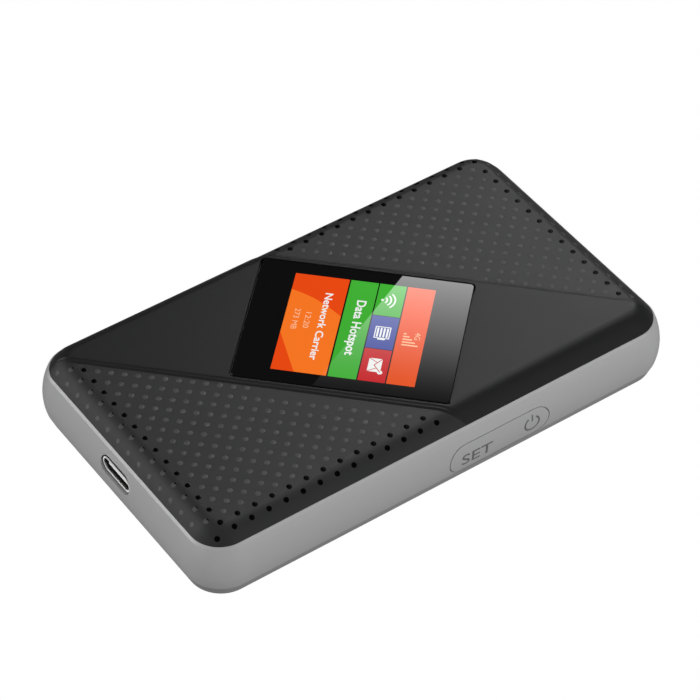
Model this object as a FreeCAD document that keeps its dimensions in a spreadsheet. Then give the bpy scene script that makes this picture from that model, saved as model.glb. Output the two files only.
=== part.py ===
"""Pocket mobile hotspot: a flat router with a diagonal display band, built as separate pieces.

X runs along the case with the charging port at -X, the rocker key is on the -Y side, Z is up and the
origin is the middle of the underside. All sizes are millimetres. The display, its module and the raised
band lie at 45 degrees to the case, along the direction U = (1, -1) / sqrt(2).
"""
import FreeCAD, Part
import math
import os
import Sketcher
from FreeCAD import Placement, Rotation, Vector

OUTPUT_FOLDER = "parts"
DISPLAY_TURN = -45.0
SMALL_PARTS = 8

DIMENSIONS = [
    # outer case
    ("case_length", 102.0, "length at the rim"),
    ("case_width", 58.5, "width at the rim"),
    ("case_height", 15.5, "underside to the top of the display band"),
    ("corner_radius", 6.5, "case corners in plan"),
    ("swell", 1.17, "how far the walls bulge out beyond case_length and case_width"),
    ("swell_height", 6.1, "height of the widest line"),
    ("swell_radius", 14.3, "bow of the walls from bottom to top"),
    ("shell_wall", 1.6, "wall of the frame and the door"),
    ("fit_gap", 0.15, "gap between parts that slide together"),
    # battery door
    ("door_height", 2.45, "underside to the parting line"),
    ("door_inset", 0.97, "how far the door leans in at its base"),
    ("door_floor", 1.2, "door floor thickness"),
    ("door_edge", 0.4, "rounding of the door's lower edge"),
    ("catch_length", 5.0, "door catch along the wall"),
    ("catch_thickness", 0.8, "door catch across the wall"),
    ("catch_rise", 0.75, "catch above the parting line"),
    ("nail_notch_length", 9.0, "fingernail notch in the back edge"),
    ("nail_notch_depth", 0.7, "fingernail notch into the edge"),
    ("nail_notch_height", 0.8, "fingernail notch up from the parting line"),
    # middle frame
    ("rim_height", 12.2, "top of the frame's bright rim"),
    ("rim_chamfer", 0.43, "bright chamfer on the rim"),
    ("frame_plate", 1.0, "frame floor around the battery bay"),
    ("bay_roof", 6.2, "underside of the battery bay's roof"),
    ("bay_skin", 0.8, "wall and roof of the battery bay"),
    ("bay_left", -28.5, "bay end nearest the port"),
    ("bay_front", -21.0, "bay side nearest the key"),
    ("bay_length", 63.0, "bay along X"),
    ("bay_width", 45.0, "bay along Y"),
    ("boss_radius", 2.3, "screw bosses"),
    ("boss_x", 44.6, "screw position from the centre, along X"),
    ("boss_y", 22.9, "screw position from the centre, along Y"),
    # top cover
    ("crown_run", 4.2, "rounded edge, inwards"),
    ("panel_drop", 0.45, "outer panels below the display band"),
    ("band_half", 16.25, "half width of the band's flat top"),
    ("band_bevel", 1.0, "width of the bevel beside the band"),
    ("cover_ceiling", 13.65, "inner face of the cover"),
    ("lip_bottom", 10.9, "bottom of the lip inside the frame"),
    ("lip_wall", 1.0, "lip thickness"),
    # display
    ("window_length", 40.1, "display window along the band"),
    ("window_width", 31.2, "display window across the band"),
    ("window_thickness", 0.8, "display window"),
    ("window_corner", 0.8, "display window corners"),
    ("window_gap", 0.3, "groove round the window"),
    ("window_edge", 0.12, "ground edge of the window"),
    ("adhesive_thickness", 0.1, "window adhesive"),
    ("adhesive_margin", 0.2, "adhesive behind the window's edge"),
    ("adhesive_gap", 0.4, "adhesive opening round the module"),
    ("module_start", -17.5, "display module's lower end along U"),
    ("module_length", 33.0, "display module along U"),
    ("module_width", 28.6, "display module across"),
    ("module_gap", 0.3, "cover opening round the module"),
    ("panel_top", 14.55, "front of the LCD glass"),
    ("panel_thickness", 1.2, "LCD glass"),
    ("backlight_thickness", 1.4, "backlight frame"),
    ("flex_width", 12.0, "display ribbon"),
    ("flex_thickness", 0.15, "display ribbon"),
    ("flex_bend", 1.5, "bend of the display ribbon"),
    ("socket_length", 3.0, "display socket along U"),
    ("socket_height", 1.0, "display socket"),
    ("socket_inset", 4.0, "display socket from the module's end"),
    ("socket_margin", 0.5, "display socket beyond the ribbon"),
    ("foam_side", 3.0, "foam pads"),
    ("foam_inset", 0.5, "foam pads from the module's edge"),
    # board
    ("board_length", 96.4, "main board"),
    ("board_width", 52.6, "main board"),
    ("board_corner", 4.0, "main board corners"),
    ("board_bottom", 8.6, "main board underside"),
    ("board_thickness", 0.8, "main board"),
    ("can_skin", 0.2, "sheet of the shield cans"),
    ("can_height", 1.8, "shield cans"),
    ("modem_can_left", -42.4, "modem shield"),
    ("modem_can_front", -4.0, "modem shield"),
    ("modem_can_length", 18.4, "modem shield"),
    ("modem_can_width", 23.0, "modem shield"),
    ("wifi_can_left", 24.0, "Wi-Fi shield"),
    ("wifi_can_front", -22.0, "Wi-Fi shield"),
    ("wifi_can_length", 18.0, "Wi-Fi shield"),
    ("wifi_can_width", 16.0, "Wi-Fi shield"),
    ("power_can_left", -36.0, "power shield"),
    ("power_can_front", -23.0, "power shield"),
    ("power_can_length", 16.0, "power shield"),
    ("power_can_width", 14.0, "power shield"),
    ("foil_margin", 1.0, "heat spreader from the shield's edge"),
    ("foil_thickness", 0.1, "heat spreader"),
    ("memory_left", 24.0, "memory chip"),
    ("memory_front", 4.0, "memory chip"),
    ("memory_length", 9.0, "memory chip"),
    ("memory_width", 8.0, "memory chip"),
    ("memory_height", 1.0, "memory chip"),
    ("charger_left", -43.0, "charger chip"),
    ("charger_front", -14.0, "charger chip"),
    ("charger_side", 4.0, "charger chip"),
    ("charger_height", 0.8, "charger chip"),
    ("small_left", 24.0, "first of the small parts"),
    ("small_front", 15.0, "small parts"),
    ("small_pitch", 2.4, "spacing of the small parts"),
    ("small_length", 1.6, "small parts"),
    ("small_width", 0.8, "small parts"),
    ("sim_left", 9.0, "SIM holder"),
    ("sim_front", -7.5, "SIM holder"),
    ("sim_length", 15.0, "SIM holder"),
    ("sim_width", 13.0, "SIM holder"),
    ("sim_height", 1.4, "SIM holder"),
    ("sim_skin", 1.0, "SIM holder's side walls"),
    ("sim_roof", 0.3, "SIM holder's floor and roof"),
    ("sim_back", 0.8, "SIM holder's closed end"),
    # charging port
    ("port_y", 0.0, "port centre along Y"),
    ("port_z", 8.3, "port centre height"),
    ("port_opening_width", 9.5, "opening in the frame"),
    ("port_opening_height", 4.2, "opening in the frame"),
    ("port_shell_width", 8.94, "receptacle shell outside"),
    ("port_shell_height", 3.26, "receptacle shell outside"),
    ("port_notch_gap", 0.02, "board notch round the receptacle"),
    ("port_shell_wall", 0.3, "receptacle shell"),
    ("port_shell_length", 8.6, "receptacle shell"),
    ("port_recess", 0.35, "shell behind the case's end face"),
    ("tongue_width", 6.69, "contact tongue"),
    ("tongue_thickness", 0.7, "contact tongue"),
    ("tongue_length", 4.45, "contact tongue"),
    ("tongue_recess", 0.5, "tongue behind the shell's mouth"),
    # rocker key
    ("key_length", 22.3, "rocker key"),
    ("key_height", 6.5, "rocker key before its lower edge is cut straight"),
    ("key_thickness", 1.4, "rocker key"),
    ("key_x", 11.0, "rocker key centre along X"),
    ("key_z", 5.7, "rocker key centre height"),
    ("pivot_y", -26.6, "pivot of the rocker key"),
    ("pivot_radius", 0.5, "pivot pin"),
    ("pivot_play", 0.05, "radial play on the pivot pin"),
    ("hub_radius", 1.2, "hub on the key"),
    ("hub_bottom", 3.65, "lower end of the hub"),
    ("hub_top", 8.0, "upper end of the hub"),
    ("pusher_arm", 7.7, "key pivot to each pusher"),
    ("pusher_radius", 0.9, "pushers behind the key"),
    ("pusher_z", 6.4, "height of the pushers"),
    ("pusher_end", -26.7, "inner end of the pushers"),
    # side switches
    ("switch_front", -25.6, "front of the switch bodies"),
    ("switch_length", 4.6, "switch body along X"),
    ("switch_depth", 3.0, "switch body along Y"),
    ("switch_bottom", 5.0, "underside of the switch bodies"),
    ("plunger_length", 2.0, "switch plunger"),
    ("plunger_width", 1.6, "switch plunger"),
    ("plunger_height", 1.2, "switch plunger"),
    ("plunger_out", 1.0, "switch plunger outside its body"),
    ("plunger_well", 1.5, "depth of the plunger's well"),
    ("plunger_play", 0.1, "play round the plunger"),
    # battery
    ("cell_length", 62.0, "battery pack"),
    ("cell_width", 44.0, "battery pack"),
    ("cell_bottom", 1.45, "battery pack underside"),
    ("cell_thickness", 4.5, "battery pack"),
    ("cell_corner", 1.5, "battery pack corners"),
    ("label_thickness", 0.1, "battery label"),
    ("pad_width", 3.0, "battery contact pads"),
    ("pad_height", 2.0, "battery contact pads"),
    ("pad_thickness", 0.2, "battery contact pads"),
    ("pad_pitch", 5.0, "spacing of the battery contacts"),
    ("label_margin", 2.0, "battery label from the pack's edge"),
    ("connector_length", 4.0, "battery connector along X"),
    ("blade_width", 1.2, "spring blades"),
    ("blade_height", 1.4, "spring blades"),
    ("blade_gap", 0.1, "spring blades from the contact pads"),
    # antennas
    ("foil_antenna_thickness", 0.2, "antenna strips"),
    ("antenna_bottom", 4.5, "lower edge of the antenna strips"),
    ("antenna_height", 6.0, "antenna strips"),
    ("main_antenna_length", 34.0, "main antenna along Y"),
    ("side_antenna_left", -40.0, "diversity antenna"),
    ("side_antenna_length", 30.0, "diversity antenna"),
    ("wifi_antenna_left", 12.0, "Wi-Fi antenna"),
    ("wifi_antenna_length", 24.0, "Wi-Fi antenna"),
    # screws
    ("screw_head_radius", 1.5, "screw head"),
    ("screw_head_height", 1.0, "screw head"),
    ("screw_radius", 0.75, "screw thread"),
    ("screw_seat", 3.65, "seat under the screw head"),
    ("screw_tip", 12.8, "end of the screw"),
    # reset switch
    ("reset_x", 40.5, "reset switch along X"),
    ("reset_y", 12.0, "reset switch along Y"),
    ("reset_bottom", 5.4, "underside of the reset switch body"),
    ("reset_plunger_radius", 0.9, "reset plunger"),
    ("reset_plunger_bottom", 4.2, "tip of the reset plunger"),
    ("reset_plunger_length", 2.2, "reset plunger"),
    ("reset_side", 4.0, "reset switch body"),
    ("reset_well", 1.5, "depth of the reset plunger's well"),
    ("reset_hole_radius", 0.7, "pinhole in the frame"),
]

doc = FreeCAD.newDocument("pocket_hotspot")
sheet = doc.addObject("Spreadsheet::Sheet", "dim")
for row, (alias, number, meaning) in enumerate(DIMENSIONS, start=1):
    sheet.set(f"A{row}", meaning)
    sheet.set(f"B{row}", str(number))
    sheet.setAlias(f"B{row}", alias)
doc.recompute()

sub_parts = []


def keep(piece, label):
    """Mark a finished object as a sub-part, with the name of its file."""
    piece.Label = label
    sub_parts.append(piece)
    return piece


def value(expression):
    """Number that an expression on the sheet stands for."""
    return float(sheet.evalExpression(expression.replace("dim.", "")))


# ---------------------------------------------------------------- sketch and feature helpers

def new_body(name):
    return doc.addObject("PartDesign::Body", name)


def new_sketch(body, name, role="XY_Plane", lift="0", at=("0", "0"), turn=0.0):
    """Sketch on one of the body's own planes, lifted along its normal and turned about it."""
    plane = next(item for item in body.Origin.OriginFeatures if item.Role == role)
    axis = {"XY_Plane": Vector(0, 0, 1), "YZ_Plane": Vector(0, 1, 0)}.get(role, Vector(0, 0, 1))
    sketch = body.newObject("Sketcher::SketchObject", name)
    sketch.AttachmentSupport = [(plane, "")]
    sketch.MapMode = "FlatFace"
    sketch.AttachmentOffset = Placement(Vector(), Rotation(axis, turn))
    sketch.setExpression("AttachmentOffset.Base.x", at[0])
    sketch.setExpression("AttachmentOffset.Base.y", at[1])
    sketch.setExpression("AttachmentOffset.Base.z", lift)
    return sketch


def bind(sketch, constraint, expression):
    """Add a dimension to a sketch and tie it to the sheet."""
    index = sketch.addConstraint(constraint)
    sketch.setExpression(f"Constraints[{index}]", expression)


def rounded_rectangle(sketch, length, width, radius):
    """Rectangle with round corners, centred on the sketch's origin."""
    half_x = value(length) / 2
    half_y = value(width) / 2
    r = value(radius)
    first = sketch.GeometryCount
    corners = [(1, 1, 0), (-1, 1, 90), (-1, -1, 180), (1, -1, 270)]
    for side_x, side_y, start in corners:
        circle = Part.Circle(Vector(side_x * (half_x - r), side_y * (half_y - r), 0), Vector(0, 0, 1), r)
        arc = Part.ArcOfCircle(circle, math.radians(start), math.radians(start + 90))
        sketch.addGeometry(arc, False)
    for number in range(4):
        this_arc = sketch.Geometry[first + number]
        next_arc = sketch.Geometry[first + (number + 1) % 4]
        sketch.addGeometry(Part.LineSegment(this_arc.EndPoint, next_arc.StartPoint), False)
    for number in range(4):
        line = first + 4 + number
        sketch.addConstraint(Sketcher.Constraint("Tangent", first + number, 2, line, 1))
        sketch.addConstraint(Sketcher.Constraint("Tangent", line, 2, first + (number + 1) % 4, 1))
        direction = "Horizontal" if number % 2 == 0 else "Vertical"
        sketch.addConstraint(Sketcher.Constraint(direction, line))
    for number in range(1, 4):
        sketch.addConstraint(Sketcher.Constraint("Equal", first, first + number))
    sketch.addConstraint(Sketcher.Constraint("Symmetric", first, 3, first + 2, 3, -1, 1))
    bind(sketch, Sketcher.Constraint("DistanceX", first + 5, 1, first + 7, 1, 2 * half_x), length)
    bind(sketch, Sketcher.Constraint("DistanceY", first + 6, 1, first + 4, 1, 2 * half_y), width)
    bind(sketch, Sketcher.Constraint("Radius", first, r), radius)


def slot_outline(sketch, length, height):
    """Slot with round ends, lying along the sketch's X axis and centred on its origin."""
    half = value(length) / 2
    r = value(height) / 2
    first = sketch.GeometryCount
    for side, start in ((1, -90), (-1, 90)):
        circle = Part.Circle(Vector(side * (half - r), 0, 0), Vector(0, 0, 1), r)
        arc = Part.ArcOfCircle(circle, math.radians(start), math.radians(start + 180))
        sketch.addGeometry(arc, False)
    for this_end, other_end in ((0, 1), (1, 0)):
        start_point = sketch.Geometry[first + this_end].EndPoint
        end_point = sketch.Geometry[first + other_end].StartPoint
        line = sketch.addGeometry(Part.LineSegment(start_point, end_point), False)
        sketch.addConstraint(Sketcher.Constraint("Tangent", first + this_end, 2, line, 1))
        sketch.addConstraint(Sketcher.Constraint("Tangent", line, 2, first + other_end, 1))
    sketch.addConstraint(Sketcher.Constraint("Equal", first, first + 1))
    sketch.addConstraint(Sketcher.Constraint("Horizontal", first + 2))
    sketch.addConstraint(Sketcher.Constraint("Symmetric", first, 3, first + 1, 3, -1, 1))
    centre_gap = f"{length} - ({height})"
    bind(sketch, Sketcher.Constraint("DistanceX", first + 1, 3, first, 3, 2 * (half - r)), centre_gap)
    bind(sketch, Sketcher.Constraint("Radius", first, r), f"({height}) / 2")


def polygon(sketch, corners):
    """Straight-sided outline; every corner is a pair of expressions."""
    points = [Vector(value(x), value(y), 0) for x, y in corners]
    first = sketch.GeometryCount
    count = len(points)
    for number, point in enumerate(points):
        sketch.addGeometry(Part.LineSegment(point, points[(number + 1) % count]), False)
    for number in range(count):
        line = first + number
        following = first + (number + 1) % count
        sketch.addConstraint(Sketcher.Constraint("Coincident", line, 2, following, 1))
    for number, (x, y) in enumerate(corners):
        line = first + number
        bind(sketch, Sketcher.Constraint("DistanceX", -1, 1, line, 1, points[number].x), x)
        bind(sketch, Sketcher.Constraint("DistanceY", -1, 1, line, 1, points[number].y), y)


def rectangle(sketch, left, bottom, length, width):
    right = f"{left} + {length}"
    top = f"{bottom} + {width}"
    polygon(sketch, [(left, bottom), (right, bottom), (right, top), (left, top)])


def circle(sketch, x, y, radius):
    centre = Vector(value(x), value(y), 0)
    ring = sketch.addGeometry(Part.Circle(centre, Vector(0, 0, 1), value(radius)), False)
    bind(sketch, Sketcher.Constraint("DistanceX", -1, 1, ring, 3, centre.x), x)
    bind(sketch, Sketcher.Constraint("DistanceY", -1, 1, ring, 3, centre.y), y)
    bind(sketch, Sketcher.Constraint("Radius", ring, value(radius)), radius)


def pad(body, sketch, length, backwards=False):
    feature = body.newObject("PartDesign::Pad", sketch.Name + "_pad")
    feature.Profile = sketch
    feature.Reversed = backwards
    feature.setExpression("Length", length)
    return feature


def pocket(body, sketch, length, backwards=False):
    """Cut a sketch out of the body, and make sure that the cut took something away."""
    doc.recompute()
    before = body.Shape.Volume
    feature = body.newObject("PartDesign::Pocket", sketch.Name + "_pocket")
    feature.Profile = sketch
    feature.Reversed = backwards
    feature.setExpression("Length", length)
    doc.recompute()
    if body.Shape.Volume >= before:
        raise RuntimeError(f"{feature.Name} cuts nothing")
    return feature


def dress(body, kind, size, pick):
    """Fillet or chamfer the edges of the body's tip that pick() chooses."""
    doc.recompute()
    edges = body.Tip.Shape.Edges
    names = [f"Edge{number}" for number, edge in enumerate(edges, start=1) if pick(edge)]
    tip = body.Tip
    feature = body.newObject(f"PartDesign::{kind}", f"{body.Name}_{kind.lower()}")
    feature.Base = (tip, names)
    feature.setExpression("Radius" if kind == "Fillet" else "Size", size)
    return feature


def at_height(height, minimum_x=0.0):
    """Edge chooser: level edges at one height, further out than minimum_x when that is given."""
    def pick(edge):
        box = edge.BoundBox
        level = abs(box.ZMin - height) < 1e-4 and abs(box.ZMax - height) < 1e-4
        outside = max(abs(box.XMin), abs(box.XMax)) >= minimum_x
        return level and outside
    return pick


def plate(label, outline, bottom, thickness, turn=0.0, at=("0", "0")):
    """Flat piece: the outline function draws its sketch, which is padded upwards."""
    body = new_body(label)
    sketch = new_sketch(body, label + "_outline", lift=bottom, turn=turn, at=at)
    outline(sketch)
    pad(body, sketch, thickness)
    return body


def box(name, corner, sides):
    """Box whose corner and sides are expressions."""
    piece = doc.addObject("Part::Box", name)
    for prop, expression in zip(("Length", "Width", "Height"), sides):
        piece.setExpression(prop, expression)
    for axis, expression in zip("xyz", corner):
        piece.setExpression(f"Placement.Base.{axis}", expression)
    return piece


def post(name, radius, height, foot):
    """Upright cylinder standing on the point foot."""
    piece = doc.addObject("Part::Cylinder", name)
    piece.setExpression("Radius", radius)
    piece.setExpression("Height", height)
    for axis, expression in zip("xyz", foot):
        piece.setExpression(f"Placement.Base.{axis}", expression)
    return piece


def cut(name, base, tool):
    piece = doc.addObject("Part::Cut", name)
    piece.Base = base
    piece.Tool = tool
    return piece


def fuse(name, shapes):
    piece = doc.addObject("Part::MultiFuse", name)
    piece.Shapes = shapes
    return piece


def group(name, shapes):
    """Separate solids that share one node."""
    piece = doc.addObject("Part::Compound", name)
    piece.Links = shapes
    return piece


# ---------------------------------------------------------------- shared positions

BOSSES = [(side_x, side_y) for side_x in ("-", "") for side_y in ("-", "")]
BOARD_TOP = "dim.board_bottom + dim.board_thickness"
BACKLIGHT_BOTTOM = "dim.panel_top - dim.panel_thickness - dim.backlight_thickness"
CELL_LEFT = "dim.bay_left + (dim.bay_length - dim.cell_length) / 2"
CELL_FRONT = "dim.bay_front + (dim.bay_width - dim.cell_width) / 2"
CELL_MIDDLE_Y = "dim.bay_front + dim.bay_width / 2"
OUTSIDE = "(dim.swell + 0.5)"


def swell_at(height):
    """How far the wall stands out beyond case_length and case_width at a height."""
    return f"(dim.swell - dim.swell_radius + sqrt(dim.swell_radius^2 - ({height} - dim.swell_height)^2))"


PORT_MOUTH = f"dim.port_recess - dim.case_length / 2 - {swell_at('dim.port_z')}"
CATCHES = [
    # centre along X and Y as parts of the case size, and the wall that the catch stands beside
    (-0.33, -1, "long"), (0.36, -1, "long"), (-0.33, 1, "long"), (0.36, 1, "long"),
    (-1, -0.26, "end"), (-1, 0.26, "end"), (1, 0.0, "end"),
]


def catch_rectangles(sketch, clearance):
    """The door's catches, each grown by a clearance, as rectangles inside the case's wall."""
    for share_x, share_y, wall in CATCHES:
        along, across = ("length", "width") if wall == "long" else ("width", "length")
        share, side = (share_x, share_y) if wall == "long" else (share_y, share_x)
        middle = f"{share} * dim.case_{along}"
        start = f"{middle} - dim.catch_length / 2 - {clearance}"
        long_side = f"dim.catch_length + 2 * {clearance}"
        thick = f"dim.catch_thickness + 2 * {clearance}"
        inner = f"dim.case_{across} / 2 - dim.shell_wall - 0.1 - dim.catch_thickness - {clearance}"
        edge = inner if side > 0 else f"0 - ({inner}) - ({thick})"
        if wall == "long":
            rectangle(sketch, start, edge, long_side, thick)
        else:
            rectangle(sketch, edge, start, thick, long_side)


def boss_circles(sketch, radius):
    for side_x, side_y in BOSSES:
        circle(sketch, f"{side_x}dim.boss_x", f"{side_y}dim.boss_y", radius)


# ---------------------------------------------------------------- middle frame

SWELL_SHARES = (0, 0.17, 0.34, 0.5, 0.67, 0.84, 1)


def case_outline(sketch, offset):
    """Plan of the case, moved outwards by an offset."""
    rounded_rectangle(sketch, f"dim.case_length + 2 * {offset}", f"dim.case_width + 2 * {offset}",
                      f"dim.corner_radius + {offset}")


def swollen_block(body, name):
    """Block between the door and the rim's chamfer whose walls bow outwards."""
    sections = []
    for share in SWELL_SHARES:
        height = f"(dim.door_height + {share} * (dim.rim_height - dim.rim_chamfer - dim.door_height))"
        section = new_sketch(body, f"{name}_at_{round(100 * share)}", lift=height)
        case_outline(section, swell_at(height))
        sections.append(section)
    loft = body.newObject("PartDesign::AdditiveLoft", f"{name}_loft")
    loft.Profile = sections[0]
    loft.Sections = sections[1:]
    return loft


def make_middle_frame():
    """Grey frame: outer wall with a bright chamfered rim, floor plate, battery bay and screw bosses."""
    body = new_body("middle_frame")
    swollen_block(body, "frame_wall")
    rim = new_sketch(body, "frame_rim", lift="dim.rim_height - dim.rim_chamfer")
    case_outline(rim, swell_at("(dim.rim_height - dim.rim_chamfer)"))
    slope = pad(body, rim, "dim.rim_chamfer")
    slope.setExpression("TaperAngle", "-45")

    hollow = new_sketch(body, "frame_hollow", lift="dim.rim_height")
    rounded_rectangle(hollow, "dim.case_length - 2 * dim.shell_wall",
                      "dim.case_width - 2 * dim.shell_wall", "dim.corner_radius - dim.shell_wall")
    pocket(body, hollow, "dim.rim_height - dim.door_height - dim.frame_plate")

    bay_block = new_sketch(body, "bay_block", lift="dim.door_height")
    rectangle(bay_block, "dim.bay_left - dim.bay_skin", "dim.bay_front - dim.bay_skin",
              "dim.bay_length + 2 * dim.bay_skin", "dim.bay_width + 2 * dim.bay_skin")
    pad(body, bay_block, "dim.bay_roof + dim.bay_skin - dim.door_height")

    bosses = new_sketch(body, "frame_bosses", lift="dim.door_height")
    boss_circles(bosses, "dim.boss_radius")
    pad(body, bosses, "dim.board_bottom - dim.door_height")

    bay = new_sketch(body, "battery_bay", lift="dim.door_height")
    rectangle(bay, "dim.bay_left", "dim.bay_front", "dim.bay_length", "dim.bay_width")
    pocket(body, bay, "dim.bay_roof - dim.door_height", backwards=True)

    contact_window = new_sketch(body, "contact_window", "YZ_Plane", lift="dim.bay_left")
    rectangle(contact_window, f"{CELL_MIDDLE_Y} - 1.5 * dim.pad_pitch", "dim.door_height",
              "3 * dim.pad_pitch", "dim.bay_roof - dim.door_height")
    pocket(body, contact_window, "dim.bay_skin")

    sim_window = new_sketch(body, "sim_window", lift="dim.bay_roof")
    rectangle(sim_window, "8", "-8", "17", "14")
    pocket(body, sim_window, "dim.bay_skin", backwards=True)

    clearance_holes = new_sketch(body, "screw_holes", lift="dim.door_height")
    boss_circles(clearance_holes, "dim.screw_radius + 0.2")
    pocket(body, clearance_holes, "dim.board_bottom - dim.door_height", backwards=True)
    seats = new_sketch(body, "screw_seats", lift="dim.door_height")
    boss_circles(seats, "dim.screw_head_radius + 0.2")
    pocket(body, seats, "dim.screw_seat - dim.door_height", backwards=True)

    small_holes = new_sketch(body, "floor_holes", lift="dim.door_height")
    circle(small_holes, "dim.key_x", "dim.pivot_y", "dim.pivot_radius")
    circle(small_holes, "dim.reset_x", "dim.reset_y", "dim.reset_hole_radius")
    catch_rectangles(small_holes, "0.3")
    pocket(body, small_holes, "dim.frame_plate", backwards=True)

    key_slot = new_sketch(body, "key_slot", "XZ_Plane", lift=f"dim.case_width / 2 + {OUTSIDE}",
                          at=("dim.key_x", "dim.key_z"))
    slot_outline(key_slot, "dim.key_length + 2 * dim.fit_gap", "dim.key_height + 2 * dim.fit_gap")
    pocket(body, key_slot, f"dim.shell_wall + 0.25 + {OUTSIDE}")

    port = new_sketch(body, "port_opening", "YZ_Plane", lift=f"-(dim.case_length / 2 + {OUTSIDE})",
                      at=("dim.port_y", "dim.port_z"))
    slot_outline(port, "dim.port_opening_width", "dim.port_opening_height")
    pocket(body, port, f"dim.shell_wall + 0.2 + {OUTSIDE}", backwards=True)
    return keep(body, "middle_frame")


# ---------------------------------------------------------------- battery door

def make_rear_cover():
    """Tray-shaped battery door that leans in towards its base, with catches and a nail notch."""
    body = new_body("rear_cover")
    seam = swell_at("dim.door_height")
    outer = new_sketch(body, "door_outline", lift="dim.door_height")
    case_outline(outer, seam)
    tray = pad(body, outer, "dim.door_height", backwards=True)
    tray.setExpression("TaperAngle", "-atan(dim.door_inset / dim.door_height)")
    dress(body, "Fillet", "dim.door_edge", at_height(0.0))

    hollow = new_sketch(body, "door_hollow", lift="dim.door_height")
    rounded_rectangle(hollow, "dim.case_length - 2 * dim.shell_wall",
                      "dim.case_width - 2 * dim.shell_wall", "dim.corner_radius - dim.shell_wall")
    pocket(body, hollow, "dim.door_height - dim.door_floor")

    catches = new_sketch(body, "door_catches", lift="dim.door_floor")
    catch_rectangles(catches, "0")
    pad(body, catches, "dim.door_height + dim.catch_rise - dim.door_floor")

    notch = new_sketch(body, "nail_notch", lift="dim.door_height")
    rectangle(notch, "-dim.nail_notch_length / 2", f"dim.case_width / 2 + {seam} - dim.nail_notch_depth",
              "dim.nail_notch_length", "dim.nail_notch_depth + 1")
    pocket(body, notch, "dim.nail_notch_height")
    return keep(body, "rear_cover")


# ---------------------------------------------------------------- top cover

CROWN_SHARES = (0, 0.12, 0.25, 0.4, 0.6, 0.8, 1)


def crowned_block(name, rise):
    """Block on the frame's rim whose edge is half a parabola, crown_run in and rise up."""
    body = new_body(name)
    sections = []
    for share in CROWN_SHARES:
        inset = f"(dim.rim_chamfer + dim.crown_run * {share})"
        lift = f"dim.rim_height + ({rise}) * (1 - (1 - {share})^2)"
        section = new_sketch(body, f"{name}_at_{round(100 * share)}", lift=lift)
        rounded_rectangle(section, f"dim.case_length - 2 * {inset}", f"dim.case_width - 2 * {inset}",
                          f"dim.corner_radius - {inset}")
        sections.append(section)
    loft = body.newObject("PartDesign::AdditiveLoft", f"{name}_loft")
    loft.Profile = sections[0]
    loft.Sections = sections[1:]
    return body


def band_prism():
    """Prism along U with the section of the raised band, bevelled on both sides."""
    body = new_body("band_prism")
    sketch = new_sketch(body, "band_section", "YZ_Plane", turn=DISPLAY_TURN)
    low = "dim.rim_height - 1"
    shoulder = "dim.case_height - dim.panel_drop"
    top = "dim.case_height + dim.panel_drop"
    foot = "dim.band_half + dim.band_bevel"
    crest = "dim.band_half - dim.band_bevel"
    polygon(sketch, [(f"-({foot})", low), (foot, low), (foot, shoulder), (crest, top),
                     (f"-({crest})", top), (f"-({foot})", shoulder)])
    feature = pad(body, sketch, "2 * dim.case_length")
    feature.Midplane = True
    return body


def make_top_cover():
    """Black top: crowned panels, raised diagonal band, window seat, inner lip and screw bosses."""
    panels = cut("panel_blocks", crowned_block("panel_crown", "dim.case_height - dim.panel_drop"
                                               " - dim.rim_height"), band_prism())
    band = doc.addObject("Part::Common", "band_block")
    band.Base = crowned_block("band_crown", "dim.case_height - dim.rim_height")
    band.Tool = panels.Tool
    lip = plate("cover_lip", lambda sketch: rounded_rectangle(
        sketch, "dim.case_length - 2 * (dim.shell_wall + dim.fit_gap)",
        "dim.case_width - 2 * (dim.shell_wall + dim.fit_gap)",
        "dim.corner_radius - dim.shell_wall - dim.fit_gap"),
        "dim.lip_bottom", "dim.rim_height - dim.lip_bottom")
    block = fuse("cover_block", [panels, band, lip])
    block.Refine = True

    wall = "(dim.shell_wall + dim.fit_gap + dim.lip_wall)"
    hollow = plate("cover_hollow", lambda sketch: rounded_rectangle(
        sketch, f"dim.case_length - 2 * {wall}", f"dim.case_width - 2 * {wall}",
        f"dim.corner_radius - {wall}"), "dim.lip_bottom - 1", "dim.cover_ceiling - dim.lip_bottom + 1")
    seat = plate("window_seat", lambda sketch: rounded_rectangle(
        sketch, "dim.window_length + 2 * dim.window_gap", "dim.window_width + 2 * dim.window_gap",
        "dim.window_corner + dim.window_gap"),
        "dim.case_height - dim.window_thickness - dim.adhesive_thickness", "2", turn=DISPLAY_TURN)
    opening = plate("module_opening", lambda sketch: rectangle(
        sketch, "dim.module_start - dim.module_gap", "-dim.module_width / 2 - dim.module_gap",
        "dim.module_length + 2 * dim.module_gap", "dim.module_width + 2 * dim.module_gap"),
        "dim.cover_ceiling - 1", "2", turn=DISPLAY_TURN)
    shell = cut("cover_shell", block, fuse("cover_cuts", [hollow, seat, opening]))

    bosses = plate("cover_bosses", lambda sketch: boss_circles(sketch, "dim.boss_radius"),
                   BOARD_TOP, f"dim.cover_ceiling - ({BOARD_TOP})")
    pilots = plate("screw_pilots", lambda sketch: boss_circles(sketch, "dim.screw_radius"),
                   BOARD_TOP, f"dim.screw_tip + 0.2 - ({BOARD_TOP})")
    bossed = fuse("cover_with_bosses", [shell, bosses])
    return keep(cut("top_cover", bossed, pilots), "top_cover")


# ---------------------------------------------------------------- display

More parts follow.
